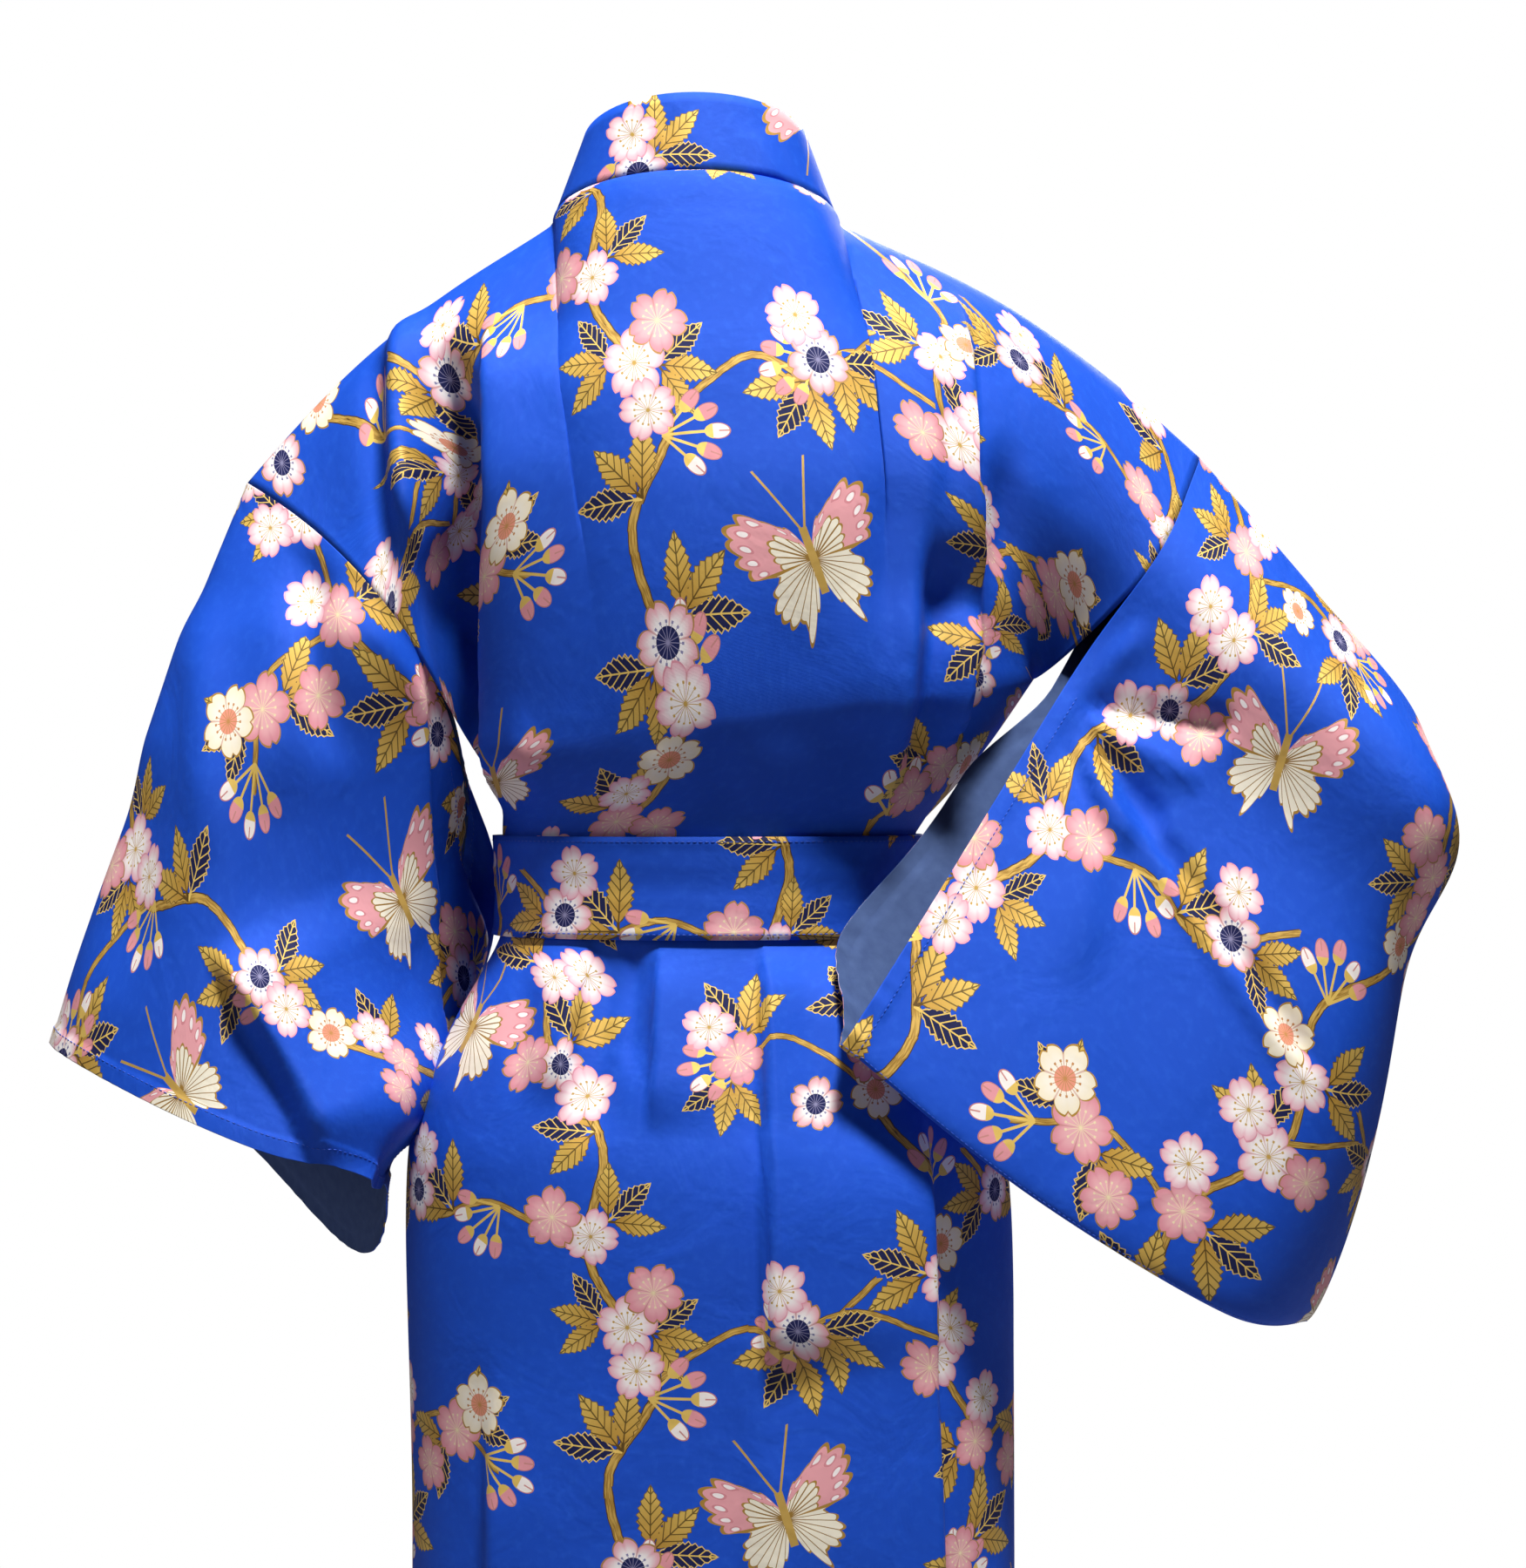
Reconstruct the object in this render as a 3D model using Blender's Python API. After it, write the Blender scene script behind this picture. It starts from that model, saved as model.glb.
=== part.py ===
"""Belted kimono robe of printed cotton, worn, as hollow walls of cloth.

Metres, +Z up. The wearer faces -Y, so the back faces +Y and the wearer's left is +X.
The origin is the middle of the neck opening, level with the collar seam at the back.
Each panel is a grid of points worked out from the tables below, then given its thickness inwards.
"""
import math

import bmesh
import bpy
from mathutils import Vector

# Cloth and seams
PANEL_THICK = 0.0018
COLLAR_THICK = 0.0026
BELT_THICK = 0.0026
SEAM_GAP = 0.0003
LAP_LIFT = 0.0050
LAP_SHARE = 0.35
LAP_RAMP = 1.6

# Grid of the panels
ARMHOLE_ROWS = 9
SHOULDER_COLUMNS = 15
NECK_COLUMNS = 12
FURI_ROWS = 8
SLEEVE_RINGS = 13
BACK_PLAIN = 3
FRONT_PLAIN = 4

# Neck and shoulders, at the line where back and fronts meet
NECK_SIDE = Vector((0.088, 0.0, -0.016))
NECK_BACK_DEPTH = 0.066
NECK_SHARE = 0.30
SHOULDER_ARCH = 0.016
ARCH_LEAN = 1.2
SHOULDER_SWELL = 0.85
SHOULDER_SPLAY = 0.4
TURN_RATE = 4.0

# Collar band
BAND_WIDTH = 0.050
BAND_COLUMNS = 4
STAND_RISE = 0.046
STAND_LEAN = 0.024
BACK_UPRIGHT = 0.45
COLLAR_TURN = 1.3

# Belt
BELT_TOP = -0.392
BELT_BOTTOM = -0.453
BELT_CLEAR = 0.0010
BELT_LAP_FROM = 0.03
BELT_LAP_OVER = 0.06
BELT_LAP_CLEAR = 0.0005
BELT_COLUMNS = 56
BELT_ROWS = 4
KNOT_SIZE = Vector((0.052, 0.026, 0.050))
KNOT_BEVEL = 0.22
KNOT_PROFILE = 0.6
TAIL_WIDTH = 0.050
TAIL_THICK = 0.0026
TAIL_LENGTHS = {"left": 0.42, "right": 0.36}
TAIL_ROWS = 10
TAIL_STEPS = 3
TAIL_START = 0.020
TAIL_SPREAD = 0.030
TAIL_BACK = 0.004
TAIL_SWING = 0.012
TAIL_SWING_RATE = 1.5
TAIL_CURL = 0.006
TAIL_NARROW = 0.55
TAIL_WIDEN_RATE = 3.0

# Body below the armholes. One row a level: height of the left and right end, left and right
# reach, depth of back and front, how pointed each side is, half opening of the side seam,
# and where the free edge of the left and the right front runs.
SECTION_COLUMNS = ("z_left", "z_right", "left", "right", "back", "front", "nose_left",
                   "nose_right", "slit", "lap_left", "lap_right")
SECTIONS = (
    (-0.340, -0.296, 0.136, -0.208, 0.101, -0.112, 1.2, 1.4, 0.0060, -0.004, 0.004),
    (-0.360, -0.334, 0.124, -0.182, 0.094, -0.109, 1.0, 1.2, 0.0040, -0.018, 0.014),
    (-0.376, -0.364, 0.119, -0.158, 0.088, -0.106, 1.0, 1.0, 0.0020, -0.034, 0.026),
    (-0.390, -0.390, 0.119, -0.136, 0.083, -0.103, 1.0, 1.0, 0.0002, -0.046, 0.034),
    (-0.423, -0.423, 0.118, -0.133, 0.081, -0.101, 1.0, 1.0, 0.0002, -0.056, 0.040),
    (-0.456, -0.456, 0.121, -0.135, 0.083, -0.102, 1.0, 1.0, 0.0002, -0.062, 0.044),
    (-0.505, -0.505, 0.148, -0.163, 0.099, -0.108, 0.95, 0.95, 0.0002, -0.070, 0.050),
    (-0.555, -0.555, 0.170, -0.181, 0.112, -0.113, 0.9, 0.9, 0.0002, -0.074, 0.054),
    (-0.620, -0.620, 0.178, -0.194, 0.120, -0.118, 0.9, 0.9, 0.0002, -0.078, 0.058),
    (-0.820, -0.820, 0.174, -0.196, 0.119, -0.124, 0.9, 0.9, 0.0002, -0.086, 0.066),
    (-1.070, -1.070, 0.178, -0.196, 0.122, -0.132, 0.9, 0.9, 0.0002, -0.094, 0.074),
    (-1.320, -1.320, 0.186, -0.202, 0.128, -0.142, 0.9, 0.9, 0.0002, -0.100, 0.080),
)
SEWN = 0.60
SEWN_EASING = 0.75
SHARED_WAY = 0.72
UNSEWN_EASE = 0.0022
UNSEWN_FROM = 0.50
UNSEWN_RAMP = 0.20
UNSEWN_END = 1.60
UNSEWN_FADE = 0.30
GAP_SHARE = 0.60
SIDE_SEAM_LEVEL = 3.0
BODY_LEVELS = (1.0, 1.5, 2.0, 2.5, 3.0, 3.5, 4.0, 4.5, 5.0, 5.5, 6.0, 6.5, 7.0, 7.5, 8.0, 8.3, 8.7,
               9.0, 9.5, 10.0, 10.5, 11.0, 11.5, 12.0)

# Sleeves. One row a ring, from the armhole to the cuff: top fold, middle, bottom fold, the way
# that the back layer faces, half thickness round the arm, half thickness of the back and the front
# layer below it, how far the front layer hangs lower, and how far the back layer laps inwards
# (below zero, the front layer).
RING_COLUMNS = ("along", "top_x", "top_y", "top_z", "mid_x", "mid_y", "mid_z", "low_x", "low_y",
                "low_z", "heading", "arm", "back_bag", "front_bag", "drop", "tuck")
LEFT_RINGS = (
    (0.00, 0.278, -0.010, -0.174, 0.158, 0.004, -0.298, 0.160, -0.060, -0.455, 0, 0.050, 0.012,
     0.012, 0.000, 0.000),
    (0.35, 0.322, 0.000, -0.290, 0.225, 0.000, -0.400, 0.168, -0.054, -0.535, 0, 0.020, 0.050,
     0.060, 0.005, 0.000),
    (0.70, 0.365, 0.000, -0.420, 0.266, 0.018, -0.500, 0.187, 0.012, -0.584, 0, 0.005, 0.062,
     0.090, 0.030, 0.024),
    (1.00, 0.395, 0.000, -0.519, 0.281, 0.030, -0.567, 0.192, 0.040, -0.604, 0, 0.000, 0.066,
     0.125, 0.056, 0.030),
)
RIGHT_RINGS = (
    (0.00, -0.311, -0.010, -0.158, -0.203, 0.044, -0.330, -0.087, 0.126, -0.512, -12, 0.042, 0.012,
     0.012, 0.000, -0.020),
    (0.30, -0.378, 0.008, -0.240, -0.292, 0.052, -0.410, -0.196, 0.116, -0.600, -16, 0.044, 0.014,
     0.016, 0.000, 0.000),
    (0.58, -0.436, 0.020, -0.318, -0.388, 0.052, -0.490, -0.318, 0.080, -0.676, -38, 0.040, 0.016,
     0.016, 0.000, 0.000),
    (0.80, -0.420, -0.045, -0.352, -0.416, -0.020, -0.520, -0.374, 0.000, -0.692, -78, 0.036,
     0.016, 0.016, 0.000, 0.000),
    (1.00, -0.368, -0.105, -0.390, -0.374, -0.088, -0.545, -0.356, -0.066, -0.702, -108, 0.036,
     0.018, 0.018, 0.000, 0.000),
)
LEFT_ARM = {"armpit": 0.62, "arm_at": 0.28, "arm_spread": 0.20, "inward": -1.0}
RIGHT_ARM = {"armpit": 0.40, "arm_at": 0.16, "arm_spread": 0.14, "inward": 1.0}
DROP_LEAN = 2.2
FOLD_ROUND = 0.35
TUCK_AT = 0.84
TUCK_SPREAD = 0.12

# Folds. One row a fold: where it starts and ends as seen from behind (or in front), its width,
# its height (below zero for a trough), how far a step runs back to level (0 for a plain ridge),
# which side of a step is raised (1 for the wearer's left), and how long its ends fade.
FOLD_COLUMNS = ("x0", "z0", "x1", "z1", "width", "height", "reach", "side", "fade")
BACK_FOLDS = (
    (0.120, -0.090, 0.117, -0.385, 0.007, 0.013, 0.090, -1, 0.070),
    (0.152, -0.095, 0.140, -0.300, 0.016, -0.020, 0.0, 1, 0.060),
    (0.172, -0.060, 0.170, -0.215, 0.014, 0.012, 0.0, 1, 0.050),
    (-0.164, -0.120, -0.150, -0.360, 0.007, 0.011, 0.060, 1, 0.080),
    (-0.144, -0.060, -0.118, -0.385, 0.010, 0.007, 0.050, 1, 0.080),
    (-0.072, -0.220, -0.050, -0.385, 0.026, -0.006, 0.0, 1, 0.080),
    (0.050, -0.120, 0.072, -0.385, 0.030, -0.005, 0.0, 1, 0.090),
    (-0.040, -0.456, -0.044, -0.700, 0.006, 0.011, 0.070, -1, 0.060),
    (-0.036, -0.700, -0.028, -1.320, 0.012, 0.006, 0.080, -1, 0.080),
    (0.062, -0.456, 0.078, -0.640, 0.012, 0.006, 0.050, 1, 0.080),
    (0.024, -0.456, 0.028, -0.620, 0.014, -0.005, 0.0, 1, 0.080),
    (0.120, -0.690, 0.121, -1.320, 0.010, 0.008, 0.060, -1, 0.110),
    (-0.136, -0.520, -0.160, -1.320, 0.010, 0.014, 0.080, 1, 0.100),
)
FRONT_FOLDS = {
    "left": (
        (0.112, -0.200, 0.098, -0.380, 0.014, 0.007, 0.0, 1, 0.080),
        (0.080, -0.460, 0.092, -0.760, 0.018, 0.008, 0.0, 1, 0.100),
        (0.020, -0.460, 0.030, -0.900, 0.018, 0.006, 0.0, 1, 0.120),
        (0.130, -0.600, 0.140, -1.320, 0.024, 0.008, 0.0, 1, 0.140),
    ),
    "right": (
        (-0.130, -0.200, -0.112, -0.380, 0.014, 0.007, 0.0, 1, 0.080),
        (-0.150, -0.480, -0.166, -1.100, 0.016, -0.006, 0.0, 1, 0.120),
    ),
}
SLEEVE_FOLDS = {
    "left": (
        (0.282, -0.450, 0.214, -0.585, 0.014, 0.020, 0.100, -1, 0.050),
        (0.240, -0.200, 0.215, -0.360, 0.016, -0.008, 0.0, 1, 0.050),
        (0.330, -0.330, 0.350, -0.500, 0.022, -0.006, 0.0, 1, 0.060),
    ),
    "right": (
        (-0.252, -0.355, -0.374, -0.535, 0.008, 0.006, 0.0, 1, 0.040),
        (-0.250, -0.300, -0.330, -0.330, 0.016, -0.007, 0.0, 1, 0.040),
        (-0.240, -0.330, -0.225, -0.500, 0.018, 0.006, 0.0, 1, 0.070),
    ),
}

# Finishes
BLUE = (0.010, 0.055, 0.480, 1.0)
CLOTH_ROUGHNESS = 0.6
SHARP_ANGLE = math.radians(50.0)


def smooth(value):
    """Ease from 0 to 1, held at both ends."""
    value = max(0.0, min(1.0, value))
    return value * value * (3.0 - 2.0 * value)


def spline(values, place):
    """A smooth curve through evenly numbered values."""
    last = len(values) - 1
    first = max(0, min(last - 1, int(math.floor(place))))
    t = place - first
    a = values[max(first - 1, 0)]
    b = values[first]
    c = values[first + 1]
    d = values[min(first + 2, last)]
    out = (c - a) / 2.0
    into = (d - b) / 2.0
    return ((2 * t ** 3 - 3 * t ** 2 + 1) * b + (t ** 3 - 2 * t ** 2 + t) * out
            + (3 * t ** 2 - 2 * t ** 3) * c + (t ** 3 - t ** 2) * into)


def row_at(table, columns, place):
    """All the named columns of a table at a place between its rows."""
    return {name: spline([row[number] for row in table], place)
            for number, name in enumerate(columns)}


# Sleeve rings

def ring_row(rings, along):
    """The row of a sleeve's table at a share of its length."""
    marks = [row[0] for row in rings]
    for number in range(len(marks) - 1):
        if along <= marks[number + 1]:
            break
    place = number + (along - marks[number]) / (marks[number + 1] - marks[number])
    return row_at(rings, RING_COLUMNS, place)


def ring_point(rings, arm, along, down, layer):
    """A point of a sleeve: along the arm, down from the top fold, layer 1 behind or -1 in front."""
    row = ring_row(rings, along)
    top = Vector((row["top_x"], row["top_y"], row["top_z"]))
    middle = Vector((row["mid_x"], row["mid_y"], row["mid_z"]))
    low = Vector((row["low_x"], row["low_y"], row["low_z"]))
    handle = middle * 2.0 - (top + low) * 0.5
    spine = top * (1 - down) ** 2 + handle * (2 * down * (1 - down)) + low * down ** 2
    heading = math.radians(row["heading"])
    facing = Vector((math.sin(heading), math.cos(heading), 0.0))
    swell = math.exp(-((down - arm["arm_at"]) / arm["arm_spread"]) ** 2)
    round_off = max(0.0, math.sin(math.pi * down)) ** FOLD_ROUND
    bag = row["back_bag"] if layer > 0 else row["front_bag"]
    point = spine + facing * (layer * (row["arm"] * swell + bag) * round_off)
    lap = max(0.0, row["tuck"] * layer)
    point.x += arm["inward"] * lap * math.exp(-((down - TUCK_AT) / TUCK_SPREAD) ** 2) * round_off
    if layer < 0:
        point.z -= row["drop"] * math.sin(math.pi * down ** DROP_LEAN)
    return point


def armhole(side, share, layer):
    """A point of the armhole edge, from the shoulder (0) to the armpit (1)."""
    rings, arm = (LEFT_RINGS, LEFT_ARM) if side == "left" else (RIGHT_RINGS, RIGHT_ARM)
    return ring_point(rings, arm, 0.0, share * arm["armpit"], layer)


# Body sections

def section_point(row, across, layer):
    """A point of a body section: across from -1 (wearer's right) to 1, back 1 or front -1."""
    centre = (row["left"] + row["right"]) / 2.0
    half = (row["left"] - row["right"]) / 2.0
    angle = across * math.pi / 2.0
    nose = row["nose_left"] if across > 0 else row["nose_right"]
    depth = row["back"] if layer > 0 else row["front"]
    edge = layer * row["slit"]
    share = (math.sin(angle) + 1.0) / 2.0
    return Vector((centre + half * math.sin(angle),
                   edge + (depth - edge) * max(0.0, math.cos(angle)) ** nose,
                   row["z_right"] + (row["z_left"] - row["z_right"]) * share))


def across_at(row, x):
    """How far across a section a given x lies, from -1 to 1."""
    centre = (row["left"] + row["right"]) / 2.0
    half = (row["left"] - row["right"]) / 2.0
    return math.asin(max(-1.0, min(1.0, (x - centre) / half))) * 2.0 / math.pi


def shoulder_point(across):
    """A point of the shoulder and neck line: across from -1 (wearer's right) to 1."""
    sign = 1.0 if across >= 0 else -1.0
    size = abs(across)
    if size <= NECK_SHARE:
        angle = size / NECK_SHARE * math.pi / 2.0
        return Vector((sign * NECK_SIDE.x * math.sin(angle), NECK_BACK_DEPTH * math.cos(angle),
                       NECK_SIDE.z * (1.0 - math.cos(angle))))
    end = armhole("left" if sign > 0 else "right", 0.0, 1)
    run = (size - NECK_SHARE) / (1.0 - NECK_SHARE)
    start = Vector((sign * NECK_SIDE.x, NECK_SIDE.y, NECK_SIDE.z))
    point = start.lerp(end, run)
    point.z += SHOULDER_ARCH * math.sin(math.pi * run ** ARCH_LEAN)
    return point


def over_shoulder(top, bottom, level):
    """Between the shoulder line (0) and the armpit section (1), rounded over the shoulder."""
    fall = 1.0 - math.cos(level * math.pi / 2.0)
    swell = math.sin(level * math.pi / 2.0) ** SHOULDER_SWELL
    return Vector((top.x + (bottom.x - top.x) * fall, top.y + (bottom.y - top.y) * swell,
                   top.z + (bottom.z - top.z) * fall))


def toward_armhole(point, side, across, level, layer, top, bottom):
    """Pull a point near the side onto the armhole edge."""
    eased = smooth((level - SEWN) / (1.0 - SEWN)) ** SEWN_EASING
    edge = armhole(side, level, layer).lerp(bottom, eased)
    share = across ** 2
    return point + (edge - over_shoulder(top, bottom, level)) * share


def section_row(level):
    """The body section at a level: 1 is the armpit, each whole number the next row."""
    return row_at(SECTIONS, SECTION_COLUMNS, level - 1.0)


def back_point(level, across):
    """A point of the back: level from 0 at the shoulder, across from -1 to 1."""
    if level >= 1.0:
        return section_point(section_row(level), across, 1)
    armpit = section_row(1.0)
    top = shoulder_point(across)
    point = over_shoulder(top, section_point(armpit, across, 1), level)
    side = "left" if across > 0 else "right"
    end = 1.0 if across > 0 else -1.0
    return toward_armhole(point, side, across, level, 1, shoulder_point(end),
                          section_point(armpit, end, 1))


def front_edge(level, sign):
    """The free edge of a front: its section share across, at the armpit level or below."""
    row = section_row(level)
    return across_at(row, row["lap_left"] if sign > 0 else row["lap_right"])


def front_point(level, share, sign, past=0.0):
    """A point of a front: share from its side (0) to its free edge (1), sign 1 for the left one."""
    low_level = max(level, 1.0)
    row = section_row(low_level)
    half = (row["left"] - row["right"]) / 2.0
    edge = front_edge(low_level, sign) - sign * past / (half * math.pi / 2.0)
    across = sign + (edge - sign) * share
    bottom = section_point(row, across, -1)
    if level >= 1.0:
        return bottom
    top = shoulder_point(sign * (1.0 + (NECK_SHARE - 1.0) * share))
    point = over_shoulder(top, bottom, level)
    side = "left" if sign > 0 else "right"
    return toward_armhole(point, side, 1.0 - share, level, -1, shoulder_point(sign),
                          section_point(row, sign, -1))


# Folds and grids

def fold_height(folds, x, z):
    """How far the folds of a table raise the cloth at a place."""
    total = 0.0
    for row in folds:
        fold = dict(zip(FOLD_COLUMNS, row))
        run = Vector((fold["x1"] - fold["x0"], fold["z1"] - fold["z0"]))
        length = run.length
        run /= length
        offset = Vector((x - fold["x0"], z - fold["z0"]))
        along = offset.dot(run)
        beside = (offset.x * -run.y + offset.y * run.x) * fold["side"]
        fade = smooth(along / fold["fade"]) * smooth((length - along) / fold["fade"])
        if fold["reach"] > 0.0:
            rise = smooth(0.5 + beside / (2.0 * fold["width"]))
            shape = rise * math.exp(-max(0.0, beside) / fold["reach"])
        else:
            shape = math.exp(-(beside / fold["width"]) ** 2)
        total += fold["height"] * fade * shape
    return total


def grid_normals(grid, closed):
    """A unit normal for each point of a grid, from its neighbours."""
    rows = len(grid)
    columns = len(grid[0])
    normals = []
    for i in range(rows):
        line = []
        for j in range(columns):
            after = grid[i][(j + 1) % columns] if closed else grid[i][min(j + 1, columns - 1)]
            before = grid[i][(j - 1) % columns] if closed else grid[i][max(j - 1, 0)]
            down = grid[min(i + 1, rows - 1)][j] - grid[max(i - 1, 0)][j]
            line.append((after - before).cross(down).normalized())
        normals.append(line)
    return normals


def outward_normals(grid, closed, outward):
    """The grid's normals, turned to point out of the robe."""
    normals = grid_normals(grid, closed)
    lean = sum(normal.dot(outward(point)) for normal_line, line in zip(normals, grid)
               for normal, point in zip(normal_line, line))
    return [[normal if lean > 0 else -normal for normal in line] for line in normals]


def raised(grid, folds, closed, outward, keep_edges=1):
    """The grid with its folds, which fade out at the first and last columns unless it is closed."""
    normals = outward_normals(grid, closed, outward)
    columns = len(grid[0])
    result = []
    for i, line in enumerate(grid):
        new_line = []
        for j, point in enumerate(line):
            edge = 1.0 if closed else smooth(min(j, columns - 1 - j) / keep_edges)
            start = smooth(i) if closed else 1.0
            lift = fold_height(folds, point.x, point.z) * edge * start
            new_line.append(point + normals[i][j] * lift)
        result.append(new_line)
    return result


def pulled_back(grid, first_row=False, columns=(), armhole_columns=()):
    """Draw the named edges of a grid back by half a seam gap, and more at the unsewn armpit."""
    def short(edge, inner, row):
        unsewn = row / ARMHOLE_ROWS
        loose = smooth((unsewn - UNSEWN_FROM) / UNSEWN_RAMP)
        loose *= UNSEWN_EASE * smooth((UNSEWN_END - unsewn) / UNSEWN_FADE)
        return edge + (inner - edge).normalized() * (SEAM_GAP * GAP_SHARE + loose)
    grid = [list(line) for line in grid]
    if first_row:
        grid[0] = [short(a, b, 0) for a, b in zip(grid[0], grid[1])]
    for row, line in enumerate(grid):
        for column in columns:
            beside = 1 if column == 0 else -2
            place = row if column in armhole_columns else 0
            line[column] = short(line[column], line[beside], place)
    return grid


def cloth_material(name, colour):
    """A plain matt cotton finish."""
    material = bpy.data.materials.new(name)
    material.use_nodes = True
    shader = material.node_tree.nodes["Principled BSDF"]
    shader.inputs["Base Color"].default_value = colour
    shader.inputs["Roughness"].default_value = CLOTH_ROUGHNESS
    shader.inputs["Metallic"].default_value = 0.0
    material.diffuse_color = colour
    return material


def cloth_wall(name, grid, closed, thickness, material, outward, normals=None):
    """A wall of cloth: the grid is its outer face, and its thickness goes against the normals."""
    if normals is None:
        normals = outward_normals(grid, closed, outward)
    rows = len(grid)
    columns = len(grid[0])
    outer = [point for line in grid for point in line]
    inner = [point - normal * thickness for normal_line, line in zip(normals, grid)
             for normal, point in zip(normal_line, line)]
    shift = len(outer)
    faces = []
    last = columns if closed else columns - 1
    for i in range(rows - 1):
        for j in range(last):
            k = (j + 1) % columns
            face = (i * columns + j, i * columns + k, (i + 1) * columns + k, (i + 1) * columns + j)
            faces.append(face)
            faces.append(tuple(reversed([corner + shift for corner in face])))
    border = [(j, (j + 1) % columns) for j in range(last)]
    border += [((rows - 1) * columns + (j + 1) % columns, (rows - 1) * columns + j)
               for j in range(last)]
    if not closed:
        border += [((i + 1) * columns, i * columns) for i in range(rows - 1)]
        border += [(i * columns + last, (i + 1) * columns + last) for i in range(rows - 1)]
    faces += [(b, a, a + shift, b + shift) for a, b in border]
    mesh = bpy.data.meshes.new(name)
    mesh.from_pydata(outer + inner, [], faces)
    work = bmesh.new()
    work.from_mesh(mesh)
    bmesh.ops.triangulate(work, faces=work.faces)
    if work.calc_volume(signed=True) < 0:
        bmesh.ops.reverse_faces(work, faces=work.faces)
    work.to_mesh(mesh)
    work.free()
    mesh.shade_smooth()
    mesh.set_sharp_from_angle(angle=SHARP_ANGLE)
    mesh.materials.append(material)
    piece = bpy.data.objects.new(name, mesh)
    bpy.context.collection.objects.link(piece)
    return piece


# Levels and columns that the pieces share at their seams

def shared_levels():
    """Levels of the rows of back and fronts: over the shoulder, then down to the hem."""
    upper = [number / ARMHOLE_ROWS for number in range(ARMHOLE_ROWS)]
    return upper + list(BODY_LEVELS)


def back_columns():
    """Places across the back, from the wearer's left to right."""
    shoulder = [1.0 - (1.0 - NECK_SHARE) * number / SHOULDER_COLUMNS
                for number in range(SHOULDER_COLUMNS)]
    neck = [NECK_SHARE - 2.0 * NECK_SHARE * number / NECK_COLUMNS
            for number in range(NECK_COLUMNS + 1)]
    return shoulder + neck + [-place for place in reversed(shoulder)]


def backwards(place):
    """The way out of the robe at its back."""
    return Vector((0.0, 1.0, 0.0))


def forwards(place):
    """The way out of the robe at its front."""
    return Vector((0.0, -1.0, 0.0))


def sleeve_loop(arm):
    """Places round a sleeve ring: down its back layer, then up its front layer."""
    downs = [arm["armpit"] * number / ARMHOLE_ROWS for number in range(ARMHOLE_ROWS)]
    downs += [arm["armpit"] + (1.0 - arm["armpit"]) * number / FURI_ROWS
              for number in range(FURI_ROWS + 1)]
    return [(down, 1) for down in downs] + [(down, -1) for down in reversed(downs[1:-1])]


def sleeve_shape(side):
    """The grid and the wall directions of one sleeve."""
    rings, arm = (LEFT_RINGS, LEFT_ARM) if side == "left" else (RIGHT_RINGS, RIGHT_ARM)
    loop = sleeve_loop(arm)
    grid = []
    for number in range(SLEEVE_RINGS):
        along = number / (SLEEVE_RINGS - 1)
        grid.append([ring_point(rings, arm, along, down, layer) for down, layer in loop])
    middle = sum((point for line in grid for point in line), Vector()) / (len(grid) * len(loop))

    def away_from_middle(place):
        return place - middle
    grid = raised(grid, SLEEVE_FOLDS[side], True, away_from_middle)
    return grid, outward_normals(grid, True, away_from_middle)


def armhole_way(normals, row, layer):
    """The wall direction at the armhole, which sleeve and body share, row by row."""
    first_ring = normals[0]
    return first_ring[row] if layer > 0 else first_ring[-row]


def neck_way(across):
    """The wall direction at the neck seam, which collar and back share."""
    seam = shoulder_point(across)
    return (Vector((seam.x, seam.y, 0.0)).normalized() + Vector((0.0, 0.0, 1.0))).normalized()


def shoulder_way(across, armhole_top):
    """The wall direction at the shoulder line, which back and fronts share."""
    if abs(across) <= NECK_SHARE:
        return neck_way(across)
    run = (abs(across) - NECK_SHARE) / (1.0 - NECK_SHARE)
    side = 1.0 if across > 0 else -1.0
    upright = Vector((side * SHOULDER_SPLAY, 0.0, 1.0))
    start = neck_way(side * NECK_SHARE).lerp(upright, smooth(run * TURN_RATE))
    return start.lerp(armhole_top, smooth((run - 1.0) * TURN_RATE + 1.0)).normalized()


def with_seams(normals, places, levels, sleeves, layer):
    """The normals of a body panel, with the directions that it shares at its seams."""
    normals = [list(line) for line in normals]
    for column, across in enumerate(places):
        top = armhole_way(sleeves["left" if across > 0 else "right"][1], 0, layer)
        normals[0][column] = shoulder_way(across, top)
    for column in (0, -1):
        if abs(places[column]) < 1.0:
            continue
        side = 1.0 if places[column] > 0 else -1.0
        shared = sleeves["left" if side > 0 else "right"][1]
        for row, level in enumerate(levels):
            if level < SHARED_WAY:
                normals[row][column] = armhole_way(shared, row, layer)
            elif level >= SIDE_SEAM_LEVEL:
                normals[row][column] = Vector((side, 0.0, 0.0))
    return normals


def build_back(material, sleeves):
    """The back panel, from the shoulder and neck line to the hem."""
    levels = shared_levels()
    places = back_columns()
    grid = [[back_point(level, across) for across in places] for level in levels]
    grid = raised(grid, BACK_FOLDS, False, backwards, BACK_PLAIN)
    normals = with_seams(outward_normals(grid, False, backwards), places, levels, sleeves, 1)
    grid = pulled_back(grid, first_row=True, columns=(0, -1), armhole_columns=(0, -1))
    return cloth_wall("back", grid, False, PANEL_THICK, material, backwards, normals)


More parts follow.
